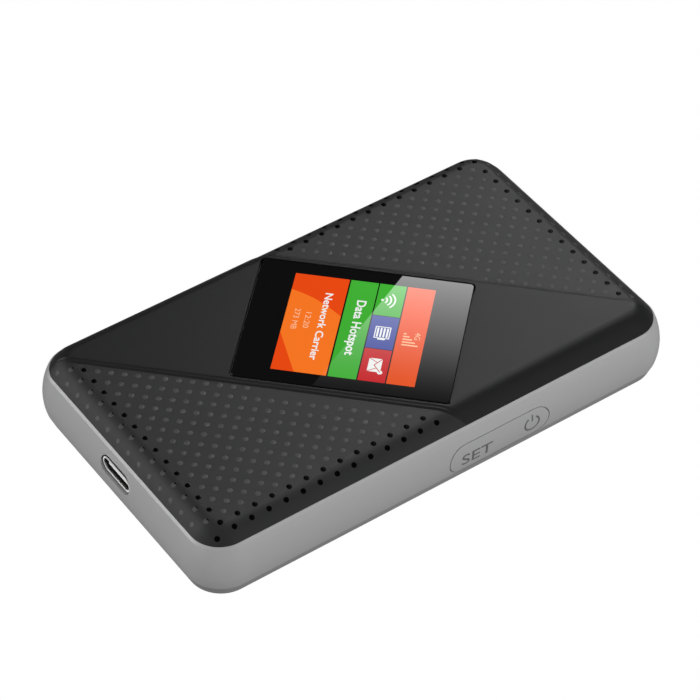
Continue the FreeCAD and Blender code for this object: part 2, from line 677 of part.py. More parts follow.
def make_display():
    """Window, its adhesive frame, LCD glass, backlight frame, ribbon, socket and foam pads."""
    window = plate("display_window", lambda sketch: rounded_rectangle(
        sketch, "dim.window_length", "dim.window_width", "dim.window_corner"),
        "dim.case_height - dim.window_thickness", "dim.window_thickness", turn=DISPLAY_TURN)
    dress(window, "Chamfer", "dim.window_edge", at_height(value("dim.case_height")))
    keep(window, "display_window")

    def adhesive_outline(sketch):
        rounded_rectangle(sketch, "dim.window_length - 2 * dim.adhesive_margin",
                          "dim.window_width - 2 * dim.adhesive_margin", "dim.window_corner")
        rectangle(sketch, "dim.module_start - dim.adhesive_gap",
                  "-dim.module_width / 2 - dim.adhesive_gap",
                  "dim.module_length + 2 * dim.adhesive_gap",
                  "dim.module_width + 2 * dim.adhesive_gap")

    keep(plate("window_adhesive", adhesive_outline,
               "dim.case_height - dim.window_thickness - dim.adhesive_thickness",
               "dim.adhesive_thickness", turn=DISPLAY_TURN), "window_adhesive")

    def module_outline(sketch):
        rectangle(sketch, "dim.module_start", "-dim.module_width / 2", "dim.module_length",
                  "dim.module_width")

    keep(plate("lcd_panel", module_outline, "dim.panel_top - dim.panel_thickness",
               "dim.panel_thickness", turn=DISPLAY_TURN), "lcd_panel")
    keep(plate("lcd_backlight_frame", module_outline, BACKLIGHT_BOTTOM, "dim.backlight_thickness",
               turn=DISPLAY_TURN), "lcd_backlight_frame")

    def foam_outline(sketch):
        near, far = "dim.foam_inset", "(dim.foam_inset + dim.foam_side)"
        for left in (f"dim.module_start + {near}", f"dim.module_start + dim.module_length - {far}"):
            for low in (f"-dim.module_width / 2 + {near}", f"dim.module_width / 2 - {far}"):
                rectangle(sketch, left, low, "dim.foam_side", "dim.foam_side")

    keep(plate("lcd_foam_pads", foam_outline, BOARD_TOP, f"{BACKLIGHT_BOTTOM} - ({BOARD_TOP})",
               turn=DISPLAY_TURN), "lcd_foam_pads")
    make_ribbon()


def make_ribbon():
    """Display ribbon, which bends back under the module into a socket on the board."""
    socket_start = "dim.module_start + dim.socket_inset"
    ribbon = new_body("lcd_flex")
    sketch = new_sketch(ribbon, "ribbon_side", "XZ_Plane")
    sketch.AttachmentOffset = Placement(Vector(), Rotation(Vector(0, 1, 0), DISPLAY_TURN))
    bend_x = value("dim.module_start - 1")
    low = value(f"{BOARD_TOP} + dim.socket_height / 2")
    inner = value("dim.flex_bend")
    outer = value("dim.flex_bend + dim.flex_thickness")
    middle = Vector(bend_x, low + outer, 0)
    ends = (value("dim.module_start"), value(socket_start))
    for radius in (inner, outer):
        bend = Part.Circle(middle, Vector(0, 0, 1), radius)
        sketch.addGeometry(Part.ArcOfCircle(bend, math.radians(90), math.radians(270)), False)
    for number, end in ((1, ends[0]), (2, ends[1])):
        near = [sketch.Geometry[arc].StartPoint if number == 1 else sketch.Geometry[arc].EndPoint
                for arc in (0, 1)]
        corners = [near[0], Vector(end, near[0].y, 0), Vector(end, near[1].y, 0), near[1]]
        for start, finish in zip(corners, corners[1:]):
            sketch.addGeometry(Part.LineSegment(start, finish), False)
    for arc, radius in ((0, "dim.flex_bend"), (1, "dim.flex_bend + dim.flex_thickness")):
        bind(sketch, Sketcher.Constraint("Radius", arc, value(radius)), radius)
    feature = pad(ribbon, sketch, "dim.flex_width")
    feature.Midplane = True
    keep(ribbon, "lcd_flex")
    keep(plate("lcd_connector", lambda outline: rectangle(
        outline, socket_start, "-dim.flex_width / 2 - dim.socket_margin", "dim.socket_length",
        "dim.flex_width + 2 * dim.socket_margin"), BOARD_TOP, "dim.socket_height", turn=DISPLAY_TURN), "lcd_connector")


# ---------------------------------------------------------------- board and what stands on it

def make_board():
    body = plate("main_board", lambda sketch: rounded_rectangle(
        sketch, "dim.board_length", "dim.board_width", "dim.board_corner"),
        "dim.board_bottom", "dim.board_thickness")
    holes = new_sketch(body, "board_holes", lift=BOARD_TOP)
    boss_circles(holes, "dim.screw_radius + 0.35")
    pocket(body, holes, "dim.board_thickness")
    notch = new_sketch(body, "port_notch", lift=BOARD_TOP)
    half = "(dim.port_shell_width / 2 + dim.port_notch_gap)"
    rectangle(notch, "-dim.board_length / 2 - 1", f"dim.port_y - {half}",
              f"{PORT_MOUTH} + dim.port_shell_length + dim.port_notch_gap + dim.board_length / 2 + 1",
              f"2 * {half}")
    pocket(body, notch, "dim.board_thickness")
    keep(body, "main_board")


def shield_can(label, name):
    """Pressed can, open towards the board; name is its dimensions' name on the sheet."""
    left, front = f"dim.{name}_left", f"dim.{name}_front"
    length, width = f"dim.{name}_length", f"dim.{name}_width"
    outer = box(label + "_outer", (left, front, BOARD_TOP), (length, width, "dim.can_height"))
    inner = box(label + "_inner", (f"{left} + dim.can_skin", f"{front} + dim.can_skin", BOARD_TOP),
                (f"{length} - 2 * dim.can_skin", f"{width} - 2 * dim.can_skin",
                 "dim.can_height - dim.can_skin"))
    return keep(cut(label, outer, inner), label)


def make_board_parts():
    """Shield cans, heat spreader, chips and small parts on the board, SIM holder below it."""
    shield_can("modem_shield", "modem_can")
    shield_can("wifi_shield", "wifi_can")
    shield_can("power_shield", "power_can")
    keep(box("heat_spreader", ("dim.modem_can_left + dim.foil_margin",
                               "dim.modem_can_front + dim.foil_margin",
                               f"{BOARD_TOP} + dim.can_height"),
             ("dim.modem_can_length - 2 * dim.foil_margin",
              "dim.modem_can_width - 2 * dim.foil_margin", "dim.foil_thickness")), "heat_spreader")
    keep(box("memory_chip", ("dim.memory_left", "dim.memory_front", BOARD_TOP),
             ("dim.memory_length", "dim.memory_width", "dim.memory_height")), "memory_chip")
    keep(box("charger_chip", ("dim.charger_left", "dim.charger_front", BOARD_TOP),
             ("dim.charger_side", "dim.charger_side", "dim.charger_height")), "charger_chip")
    small_parts = []
    for number in range(SMALL_PARTS):
        corner = (f"dim.small_left + {number} * dim.small_pitch", "dim.small_front", BOARD_TOP)
        small_parts.append(box(f"small_part_{number + 1}", corner,
                               ("dim.small_length", "dim.small_width", "dim.small_width")))
    keep(group("board_passives", small_parts), "board_passives")

    holder = box("sim_outer", ("dim.sim_left", "dim.sim_front", "dim.board_bottom - dim.sim_height"),
                 ("dim.sim_length", "dim.sim_width", "dim.sim_height"))
    slot = box("sim_slot", ("dim.sim_left - dim.sim_skin", "dim.sim_front + dim.sim_skin",
                            "dim.board_bottom - dim.sim_height + dim.sim_roof"),
               ("dim.sim_length + dim.sim_skin - dim.sim_back", "dim.sim_width - 2 * dim.sim_skin",
                "dim.sim_height - 2 * dim.sim_roof"))
    keep(cut("sim_holder", holder, slot), "sim_holder")


# ---------------------------------------------------------------- charging port

def make_port():
    """Receptacle shell and the contact tongue with its insulating block."""
    shell = new_body("usb_c_shell")
    at = ("dim.port_y", "dim.port_z")
    outer = new_sketch(shell, "port_shell_outer", "YZ_Plane", lift=PORT_MOUTH, at=at)
    slot_outline(outer, "dim.port_shell_width", "dim.port_shell_height")
    pad(shell, outer, "dim.port_shell_length")
    inner = new_sketch(shell, "port_shell_inner", "YZ_Plane", lift=PORT_MOUTH, at=at)
    slot_outline(inner, "dim.port_shell_width - 2 * dim.port_shell_wall",
                 "dim.port_shell_height - 2 * dim.port_shell_wall")
    pocket(shell, inner, "dim.port_shell_length", backwards=True)
    keep(shell, "usb_c_shell")

    tongue = new_body("usb_c_tongue")
    blade_end = f"{PORT_MOUTH} + dim.tongue_recess"
    blade = new_sketch(tongue, "tongue_section", "YZ_Plane", lift=blade_end, at=at)
    rectangle(blade, "-dim.tongue_width / 2", "-dim.tongue_thickness / 2", "dim.tongue_width",
              "dim.tongue_thickness")
    pad(tongue, blade, "dim.tongue_length")
    block = new_sketch(tongue, "insulator", "YZ_Plane", lift=f"{blade_end} + dim.tongue_length", at=at)
    slot_outline(block, "dim.port_shell_width - 2 * dim.port_shell_wall",
                 "dim.port_shell_height - 2 * dim.port_shell_wall")
    pad(tongue, block, "dim.port_shell_length - dim.tongue_recess - dim.tongue_length")
    keep(tongue, "usb_c_tongue")


# ---------------------------------------------------------------- rocker key and its switches

def make_key():
    """Rocker key with a hub on a steel pin and one pusher behind each end."""
    body = new_body("key_body")
    face = new_sketch(body, "key_face", "XZ_Plane", lift=f"dim.case_width / 2 + {OUTSIDE}",
                      at=("dim.key_x", "dim.key_z"))
    slot_outline(face, "dim.key_length", "dim.key_height")
    pad(body, face, f"dim.key_thickness + {OUTSIDE}", backwards=True)
    back = "dim.key_thickness - dim.case_width / 2"

    trim = new_sketch(body, "key_lower_edge", "XZ_Plane", lift=f"dim.case_width / 2 + {OUTSIDE}")
    rectangle(trim, "dim.key_x - dim.key_length / 2 - 1", "dim.key_z - dim.key_height / 2 - 1",
              "dim.key_length + 2", "dim.door_height + dim.fit_gap - dim.key_z + dim.key_height / 2 + 1")
    pocket(body, trim, f"dim.key_thickness + {OUTSIDE}")

    pushers = new_sketch(body, "key_pushers", "XZ_Plane", lift=f"-({back})")
    for side in ("-", "+"):
        circle(pushers, f"dim.key_x {side} dim.pusher_arm", "dim.pusher_z", "dim.pusher_radius")
    pad(body, pushers, f"dim.pusher_end - ({back})", backwards=True)

    web = new_sketch(body, "key_web", lift="dim.hub_bottom")
    rectangle(web, "dim.key_x - 0.6", f"{back} - 0.2", "1.2", f"dim.pivot_y - ({back}) + 0.2")
    pad(body, web, "dim.hub_top - dim.hub_bottom")
    hub = new_sketch(body, "key_hub", lift="dim.hub_bottom")
    circle(hub, "dim.key_x", "dim.pivot_y", "dim.hub_radius")
    pad(body, hub, "dim.hub_top - dim.hub_bottom")
    bore = new_sketch(body, "key_bore", lift="dim.hub_top")
    circle(bore, "dim.key_x", "dim.pivot_y", "dim.pivot_radius + dim.pivot_play")
    pocket(body, bore, "dim.hub_top - dim.hub_bottom")
    wall = new_body("key_wall")
    swollen_block(wall, "key_wall")
    key = doc.addObject("Part::Common", "key_on_wall")
    key.Base = body
    key.Tool = wall
    keep(key, "rocker_key")

    keep(post("key_pivot_pin", "dim.pivot_radius", "dim.hub_top + 0.2 - dim.door_height - 0.1",
              ("dim.key_x", "dim.pivot_y", "dim.door_height + 0.1")), "key_pivot_pin")


def make_side_switch(name, side):
    """Side-pushed switch under the board: a body with a well, and the plunger that runs in it."""
    middle = f"dim.key_x {side} dim.pusher_arm"
    body = box(f"{name}_block", (f"{middle} - dim.switch_length / 2", "dim.switch_front",
                                 "dim.switch_bottom"),
               ("dim.switch_length", "dim.switch_depth", "dim.board_bottom - dim.switch_bottom"))
    well = box(f"{name}_well", (f"{middle} - dim.plunger_width / 2 - dim.plunger_play",
                                "dim.switch_front - 0.5",
                                "dim.pusher_z - dim.plunger_height / 2 - dim.plunger_play"),
               ("dim.plunger_width + 2 * dim.plunger_play", "dim.plunger_well + 0.5",
                "dim.plunger_height + 2 * dim.plunger_play"))
    keep(cut(f"{name}_body", body, well), f"{name}_body")
    keep(box(f"{name}_plunger", (f"{middle} - dim.plunger_width / 2",
                                 "dim.switch_front - dim.plunger_out",
                                 "dim.pusher_z - dim.plunger_height / 2"),
             ("dim.plunger_width", "dim.plunger_length", "dim.plunger_height")), f"{name}_plunger")


def make_reset_switch():
    """Reset switch under the board, pushed upwards through a pinhole under the door."""
    body = box("reset_block", ("dim.reset_x - dim.reset_side / 2", "dim.reset_y - dim.reset_side / 2",
                               "dim.reset_bottom"),
               ("dim.reset_side", "dim.reset_side", "dim.board_bottom - dim.reset_bottom"))
    well = post("reset_well", "dim.reset_plunger_radius + dim.plunger_play", "dim.reset_well + 1",
                ("dim.reset_x", "dim.reset_y", "dim.reset_bottom - 1"))
    keep(cut("reset_switch_body", body, well), "reset_switch_body")
    keep(post("reset_plunger", "dim.reset_plunger_radius", "dim.reset_plunger_length",
              ("dim.reset_x", "dim.reset_y", "dim.reset_plunger_bottom")), "reset_plunger")


# ---------------------------------------------------------------- battery

def make_battery():
    """Pack with rounded edges, plain label below, and three contact pads let into its end."""
    pack = new_body("pack_block")
    outline = new_sketch(pack, "pack_outline", lift="dim.cell_bottom",
                         at=("dim.bay_left + dim.bay_length / 2", CELL_MIDDLE_Y))
    rounded_rectangle(outline, "dim.cell_length", "dim.cell_width", "dim.cell_corner")
    pad(pack, outline, "dim.cell_thickness")
    pads = []
    for step in (-1, 0, 1):
        corner = (CELL_LEFT, f"{CELL_MIDDLE_Y} + {step} * dim.pad_pitch - dim.pad_width / 2",
                  "dim.cell_bottom + dim.cell_thickness / 2 - dim.pad_height / 2")
        pads.append(box(f"contact_pad_{step + 2}", corner,
                        ("dim.pad_thickness", "dim.pad_width", "dim.pad_height")))
    contacts = keep(group("battery_contacts", pads), "battery_contacts")
    keep(cut("battery_pack", pack, contacts), "battery_pack")
    keep(box("battery_label", (f"{CELL_LEFT} + dim.label_margin", f"{CELL_FRONT} + dim.label_margin",
                               "dim.cell_bottom - dim.label_thickness"),
             ("dim.cell_length - 2 * dim.label_margin", "dim.cell_width - 2 * dim.label_margin",
              "dim.label_thickness")), "battery_label")


def make_battery_connector():
    """Connector block between the bay's end wall and the board, with three spring blades."""
    outside = "dim.bay_left - dim.bay_skin"
    keep(box("battery_connector", (f"{outside} - dim.connector_length",
                                   f"{CELL_MIDDLE_Y} - 1.5 * dim.pad_pitch",
                                   "dim.door_height + dim.frame_plate"),
             ("dim.connector_length", "3 * dim.pad_pitch",
              "dim.board_bottom - dim.door_height - dim.frame_plate")), "battery_connector")
    blades = []
    for step in (-1, 0, 1):
        corner = (outside, f"{CELL_MIDDLE_Y} + {step} * dim.pad_pitch - dim.blade_width / 2",
                  "dim.cell_bottom + dim.cell_thickness / 2 - dim.blade_height / 2")
        blades.append(box(f"spring_blade_{step + 2}", corner,
                          (f"{CELL_LEFT} - ({outside}) - dim.blade_gap", "dim.blade_width",
                           "dim.blade_height")))
    keep(group("connector_springs", blades), "connector_springs")


# ---------------------------------------------------------------- antennas and screws

def make_antennas():
    """Metal strips on the inside of the frame's walls."""
    wall_x = "dim.case_length / 2 - dim.shell_wall - dim.foil_antenna_thickness"
    wall_y = "dim.case_width / 2 - dim.shell_wall - dim.foil_antenna_thickness"
    keep(box("main_antenna", (wall_x, "-dim.main_antenna_length / 2", "dim.antenna_bottom"),
             ("dim.foil_antenna_thickness", "dim.main_antenna_length", "dim.antenna_height")),
         "main_antenna")
    keep(box("diversity_antenna", ("dim.side_antenna_left", wall_y, "dim.antenna_bottom"),
             ("dim.side_antenna_length", "dim.foil_antenna_thickness", "dim.antenna_height")),
         "diversity_antenna")
    keep(box("wifi_antenna", ("dim.wifi_antenna_left", wall_y, "dim.antenna_bottom"),
             ("dim.wifi_antenna_length", "dim.foil_antenna_thickness", "dim.antenna_height")),
         "wifi_antenna")


def make_screws():
    """Four screws through the frame's bosses and the board into the top cover."""
    screws = []
    for number, (side_x, side_y) in enumerate(BOSSES, start=1):
        x = f"{side_x}dim.boss_x"
        y = f"{side_y}dim.boss_y"
        head = post(f"screw_head_{number}", "dim.screw_head_radius", "dim.screw_head_height",
                    (x, y, "dim.screw_seat - dim.screw_head_height"))
        thread = post(f"screw_thread_{number}", "dim.screw_radius", "dim.screw_tip - dim.screw_seat",
                      (x, y, "dim.screw_seat"))
        slots = []
        for axis, sides in (("along", ("1.8", "0.4", "0.5")), ("across", ("0.4", "1.8", "0.5"))):
            corner = (f"{x} - {sides[0]} / 2", f"{y} - {sides[1]} / 2",
                      "dim.screw_seat - dim.screw_head_height")
            slots.append(box(f"screw_slot_{axis}_{number}", corner, sides))
        blank = fuse(f"screw_blank_{number}", [head, thread])
        screws.append(cut(f"screw_{number}", blank, fuse(f"screw_cross_{number}", slots)))
    keep(group("case_screws", screws), "case_screws")


# ---------------------------------------------------------------- build, check and write

make_middle_frame()
make_rear_cover()
make_top_cover()
make_display()
make_board()
make_board_parts()
make_port()
make_key()
make_side_switch("pairing_switch", "-")
make_side_switch("power_switch", "+")
make_reset_switch()
make_battery()
make_battery_connector()
make_antennas()
make_screws()
doc.recompute()

failed = [item.Name for item in doc.Objects if {"Invalid", "Error"} & set(item.State)]
if failed:
    raise RuntimeError(f"objects failed to build: {failed}")
for piece in sub_parts:
    if piece.Shape.isNull() or not piece.Shape.isValid():
        raise RuntimeError(f"{piece.Label} has no valid shape")

os.makedirs(OUTPUT_FOLDER, exist_ok=True)
for piece in sub_parts:
    piece.Shape.exportStep(os.path.join(OUTPUT_FOLDER, piece.Label + ".step"))
    print(f"{piece.Label}: {len(piece.Shape.Solids)} solid(s), {piece.Shape.Volume:.1f} mm3")
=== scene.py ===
"""Pocket hotspot: the visible pieces, their finishes and a small studio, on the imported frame."""
import math

import bmesh
import bpy
from bpy.props import (FloatProperty, FloatVectorProperty, IntProperty, PointerProperty,
                       StringProperty)
from mathutils import Matrix, Quaternion, Vector
from mathutils.geometry import delaunay_2d_cdt


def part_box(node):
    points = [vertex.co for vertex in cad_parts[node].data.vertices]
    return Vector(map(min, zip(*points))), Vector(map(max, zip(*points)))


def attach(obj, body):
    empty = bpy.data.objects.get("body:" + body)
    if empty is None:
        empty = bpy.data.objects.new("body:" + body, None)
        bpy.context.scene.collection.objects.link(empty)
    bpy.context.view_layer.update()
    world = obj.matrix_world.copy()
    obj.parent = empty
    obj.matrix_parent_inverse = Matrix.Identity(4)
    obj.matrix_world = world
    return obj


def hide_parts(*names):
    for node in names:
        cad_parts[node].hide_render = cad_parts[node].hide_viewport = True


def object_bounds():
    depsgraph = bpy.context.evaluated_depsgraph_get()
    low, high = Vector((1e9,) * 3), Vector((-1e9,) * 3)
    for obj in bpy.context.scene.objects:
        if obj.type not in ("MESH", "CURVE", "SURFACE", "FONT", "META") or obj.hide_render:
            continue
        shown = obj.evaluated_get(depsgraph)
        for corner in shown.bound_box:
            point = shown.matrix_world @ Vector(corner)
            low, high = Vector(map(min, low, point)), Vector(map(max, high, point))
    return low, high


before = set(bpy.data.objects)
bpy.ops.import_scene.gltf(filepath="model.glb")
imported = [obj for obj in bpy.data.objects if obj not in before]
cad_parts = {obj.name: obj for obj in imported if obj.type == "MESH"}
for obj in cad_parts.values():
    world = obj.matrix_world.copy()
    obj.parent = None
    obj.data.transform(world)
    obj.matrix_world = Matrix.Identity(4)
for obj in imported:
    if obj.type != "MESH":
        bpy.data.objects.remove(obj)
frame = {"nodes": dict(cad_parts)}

bpy.context.view_layer.update()
CAD_LOW, CAD_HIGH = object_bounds()
COVER_HALF = tuple(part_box("top_cover")[1])[:2]

MM = 0.001
ROOT_TWO = math.sqrt(2.0)

# made to match the CAD nodes
WINDOW_HALF = (20.05 * MM, 15.6 * MM)  # window along and across the band
WINDOW_CORNER = 0.8 * MM
MODULE_HOLE = (-17.8 * MM, 15.8 * MM, 14.6 * MM)  # display's hole: both ends and half width
KEY_MIDDLE = 5.7 * MM
TONGUE_HALF = (3.2 * MM, 0.35 * MM)  # half the port tongue's width and thickness
WALL_BOW, WALL_BOW_HEIGHT = 14.3 * MM, 6.1 * MM  # side walls' radius and their widest level

# top cover and its dots
CROWN_STEPS = 18  # rings in the rounded edge
STEP_START, STEP_END = 0.34, 0.60  # level step in the bevel, as shares of its width
STEP_FALL = 0.4  # share of the fall above that step
SKIN, SEAT, UNDERSIDE = 0.0, 1.0, 2.0  # layers of the cover's plan
MERGE_DISTANCE = 1e-6
DOT_FACES = 40  # fewest faces that a dot comes out with

# finishes and stage
NODE_SPACING = 180  # between nodes in the editor
RELIEF_STRENGTH = 0.35
GRAIN_ENDS = (0.3, 0.7)  # noise levels of a finish's two tones
CARD_AWAY = 0.9  # glare card beyond the window, in metres
CARD_LOW, CARD_HIGH = -18.0 * MM, 120.0 * MM  # its ends, as they show in the window's plane

bl_info = {
    "name": "Pocket Hotspot",
    "version": (1, 0, 0),
    "blender": (4, 5, 0),
    "location": "View3D > Sidebar > Hotspot",
    "description": "Cover, grip dots, lit display, key marks and studio of a pocket hotspot",
    "category": "Add Mesh",
}


# ---- settings

def length(name, description, millimetres):
    return FloatProperty(name=name, description=description, default=millimetres * MM,
                         unit="LENGTH", precision=5)


def angle(name, description, degrees):
    return FloatProperty(name=name, description=description, default=math.radians(degrees),
                         subtype="ANGLE")


def power(name, description, default):
    return FloatProperty(name=name, description=description, default=default, unit="POWER")


def words(name, description, default):
    return StringProperty(name=name, description=description, default=default)


def colour(name, description, default):
    return FloatVectorProperty(name=name, description=description, default=default, size=3,
                               min=0.0, max=1.0, subtype="COLOR")


class HotspotCoverSettings(bpy.types.PropertyGroup):
    cover_corner: length("Cover corner", "Plan radius of the cover's corners", 6.07)
    crown_width: length("Crown width", "Plan width of the rounded edge", 4.2)
    band_rise: length("Band rise", "Display band above the cover's rim", 3.3)
    panel_rise: length("Panel rise", "Grip panels above the cover's rim", 2.85)
    band_half: length("Band half width", "Display band, from its middle to the bevel", 16.25)
    bevel_width: length("Bevel width", "Slope between the band and a grip panel", 1.0)
    wall: length("Wall", "Thickness of the cover", 1.4)
    window_groove: length("Window groove", "Gap round the window", 0.3)


class HotspotGripSettings(bpy.types.PropertyGroup):
    step_along: length("Step along", "Dot rows along the case", 1.802)
    step_across: length("Step across", "Dot rows across the case", 1.718)
    shift_along: length("Shift along", "Pattern's origin along the case", -0.85)
    shift_across: length("Shift across", "Pattern's origin across the case", 0.71)
    dot_radius: length("Dot radius", "Radius of one grip dot", 0.53)
    dot_height: length("Dot height", "Height of one grip dot", 0.055)
    rim_margin: length("Rim margin", "Bare strip along the cover's rim", 0.75)
    band_margin: length("Band margin", "Bare strip along the display band's bevel", 0.6)
    # the side strip and the shoulder mark the dots that get painted shade, made near black
    side_strip: length("Dark side strip", "Strip of dark dots along a long side", 4.6)
    shoulder: length("Shoulder", "Dark dots on a short end's shoulder, from the end", 4.1)
    shoulder_half: length("Shoulder half width", "Half the width of that strip", 0.95)


class HotspotPortSettings(bpy.types.PropertyGroup):
    contact_count: IntProperty(name="Contacts", description="Contacts in one row", default=12)
    contact_step: length("Contact step", "From one contact to the next", 0.5)
    contact_length: length("Contact length", "Contact along the tongue", 2.9)
    contact_width: length("Contact width", "Contact across the tongue", 0.26)
    # the rim is near white: a painted highlight on the shell's edge
    rim_width: length("Rim width", "Bright rim round the port's mouth", 0.31)


class HotspotScreenSettings(bpy.types.PropertyGroup):
    half_length: length("Half length", "Lit picture along the band, from its middle", 13.2)
    half_width: length("Half width", "Lit picture across the band, from its middle", 12.7)
    network_line: words("Large tile", "Text on the large tile", "Network Carrier")
    mode_line: words("Mode tile", "Text on the tall tile", "Data Hotspot")
    clock_line: words("Clock", "Time on the large tile", "12:20")
    usage_line: words("Usage", "Data used, on the large tile", "273 MB")
    orange: colour("Orange", "Large tile", (0.87, 0.066, 0.001))
    pale_orange: colour("Pale orange", "Sweep on the large tile", (1.0, 0.19, 0.012))
    green: colour("Green", "Mode tile and wireless tile", (0.050, 0.45, 0.032))
    blue: colour("Blue", "Battery tile", (0.046, 0.072, 0.36))
    red: colour("Red", "Message tile", (0.60, 0.010, 0.015))
    bar: colour("Status bar", "Bar with the signal strength", (0.84, 0.085, 0.004))
    glow: FloatProperty(name="Glow", description="Brightness of the lit picture", default=1.0,
                        min=0.0, max=10.0)


class HotspotFinishSettings(bpy.types.PropertyGroup):
    cover: colour("Cover", "Moulded black cover", (0.012, 0.012, 0.0125))
    panel: colour("Grip panels", "Cover beside the band", (0.020, 0.020, 0.0205))
    # dots lighter than the cover they are moulded with: painted sheen of their domes
    dots: colour("Dots", "Grip dots", (0.070, 0.070, 0.071))
    frame: colour("Frame", "Painted silver frame and key", (0.46, 0.46, 0.465))
    # the door's tone is set darker than the frame's: silver paint with painted shade for its lower
    # facet, which faces down
    door: colour("Door", "Painted silver battery door", (0.36, 0.36, 0.365))
    key_marks: colour("Key marks", "Printed marks on the key", (0.12, 0.12, 0.123))


class HotspotStageSettings(bpy.types.PropertyGroup):
    azimuth: angle("Azimuth", "Camera's turn round the object", -35.451)
    elevation: angle("Elevation", "Camera above the horizon", 45.129)
    roll: angle("Roll", "Camera's turn about its own line of sight", 0.511)
    distance: length("Distance", "Camera to the point it looks at", 570.55)
    aim: FloatVectorProperty(name="Aim", description="Point the camera looks at",
                             default=(0.73 * MM, 2.29 * MM, 7.75 * MM), unit="LENGTH", size=3)
    lens: FloatProperty(name="Lens", description="Focal length", default=158.26, unit="CAMERA")
    floor_drop: length("Floor drop", "Floor under the case, so that the door can come off", 65.0)
    left_power: power("Left light", "Soft light on the port's end", 7.1)
    front_power: power("Front light", "Soft light on the key's side", 10.5)
    top_power: power("Top light", "Soft light overhead", 1.3)
    back_power: power("Back light", "Soft light behind the port's end", 1.9)
    right_power: power("Right light", "Soft light on the two far sides", 3.2)
    sky: FloatProperty(name="Sky", description="Even light from all round", default=0.06, min=0.0)
    glare: FloatProperty(name="Glare", description="Brightness of the card seen in the window",
                         default=5.0, min=0.0)
    glare_edge: length("Glare edge", "Where the card's edge crosses the window's middle", 0.77)
    glare_lean: angle("Glare lean", "Lean of the card's edge", 20.25)


# ---- node helpers

def feed(tree, node, inputs):
    """Give a node's inputs a link or a plain value each."""
    for socket, source in inputs.items():
        if isinstance(source, bpy.types.NodeSocket):
            tree.links.new(source, node.inputs[socket])
        else:
            node.inputs[socket].default_value = source


def add_node(tree, kind, inputs=None, **properties):
    """Node with its properties set and its inputs fed, to the right of the ones before."""
    node = tree.nodes.new(kind)
    node.location = (NODE_SPACING * len(tree.nodes), 0)
    for name, setting in properties.items():
        setattr(node, name, setting)
    feed(tree, node, inputs or {})
    return node


def maths(tree, operation, *operands, clamp=False):
    """Maths node; an operand is a socket or a number."""
    return add_node(tree, "ShaderNodeMath", dict(enumerate(operands)), operation=operation,
                    use_clamp=clamp).outputs[0]


def new_material(name, base):
    """Material with nodes; returns it, its tree and its shader."""
    material = bpy.data.materials.new(name)
    material.use_nodes = True
    material.diffuse_color = (*base, 1.0)
    tree = material.node_tree
    return material, tree, tree.nodes["Principled BSDF"]


def tones(tree, factor, base, drift, ends=(0.0, 1.0)):
    """Ramp from a darker to a lighter tone of one colour."""
    ramp = add_node(tree, "ShaderNodeValToRGB", {"Fac": factor})
    for element, end, side in zip(ramp.color_ramp.elements, ends, (-1, 1)):
        element.position = end
        element.color = (*(min(part * (1.0 + side * drift), 1.0) for part in base), 1.0)
    return ramp.outputs["Color"]


def finish(name, base, roughness, metallic=0.0, grain=9000.0, depth=0.01, spread=0.06, tint=0.12,
           specular=0.5, cloud=350.0):
    """Moulded, painted or metal finish: fine grain in the relief, slow drift in the gloss.

    Grain and cloud are patterns per metre, and depth is the relief in millimetres.
    """
    material, tree, shader = new_material(name, base)
    place = add_node(tree, "ShaderNodeTexCoord").outputs["Object"]
    fine, slow = (add_node(tree, "ShaderNodeTexNoise",
                           {"Vector": place, "Scale": scale, "Detail": detail}).outputs["Fac"]
                  for scale, detail in ((grain, 3.0), (cloud, 4.0)))
    gloss = add_node(tree, "ShaderNodeMapRange", {
        "Value": slow, "To Min": max(roughness - spread, 0.0),
        "To Max": min(roughness + spread, 1.0)})
    relief = add_node(tree, "ShaderNodeBump", {
        "Height": fine, "Strength": RELIEF_STRENGTH, "Distance": depth * MM})
    feed(tree, shader, {
        "Metallic": metallic, "Specular IOR Level": specular, "Roughness": gloss.outputs["Result"],
        "Base Color": tones(tree, fine, base, tint, GRAIN_ENDS),
        "Normal": relief.outputs["Normal"]})
    return material


def lit(name, base, glow, turn=0.0, sweep=0.10):
    """Part of the lit picture behind glossy glass, slightly brighter towards one side."""
    material, tree, shader = new_material(name, base)
    place = add_node(tree, "ShaderNodeTexCoord").outputs["Object"]
    centre = add_node(tree, "ShaderNodeMapping", {
        "Vector": place, "Rotation": (0.0, 0.0, turn), "Scale": (30.0, 30.0, 30.0)})
    slope = add_node(tree, "ShaderNodeTexGradient", {"Vector": centre.outputs["Vector"]})
    feed(tree, shader, {
        "Base Color": (0.004, 0.004, 0.004, 1.0), "Roughness": 0.0, "Emission Strength": glow,
        "Emission Color": tones(tree, slope.outputs["Fac"], base, sweep)})
    return material


# ---- mesh helpers

def new_object(name, data):
    """New object in the scene."""
    thing = bpy.data.objects.new(name, data)
    bpy.context.scene.collection.objects.link(thing)
    return thing


def stand(name, mesh, body, material):
    """New piece that rides on a CAD body."""
    piece = new_object(name, mesh)
    if material is not None:
        mesh.materials.clear()
        mesh.materials.append(material)
    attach(piece, body)
    return piece


def made(shape, mesh):
    """Write a built shape into a mesh, or into a new mesh of that name."""
    if isinstance(mesh, str):
        mesh = bpy.data.meshes.new(mesh)
    shape.to_mesh(mesh)
    shape.free()
    return mesh


def prisms(name, outlines, low, high, place=Matrix.Identity(4)):
    """Closed prisms on flat outlines, between two heights, put in place by a matrix."""
    shape = bmesh.new()
    for outline in outlines:
        area = sum(a[0] * b[1] - b[0] * a[1] for a, b in zip(outline, outline[1:] + outline[:1]))
        ring = outline if area > 0 else outline[::-1]
        under = [shape.verts.new((x, y, low)) for x, y in ring]
        above = [shape.verts.new((x, y, high)) for x, y in ring]
        shape.faces.new(above)
        shape.faces.new(under[::-1])
        for number in range(len(ring)):
            after = (number + 1) % len(ring)
            shape.faces.new((under[number], under[after], above[after], above[number]))
    shape.transform(place)
    return made(shape, name)


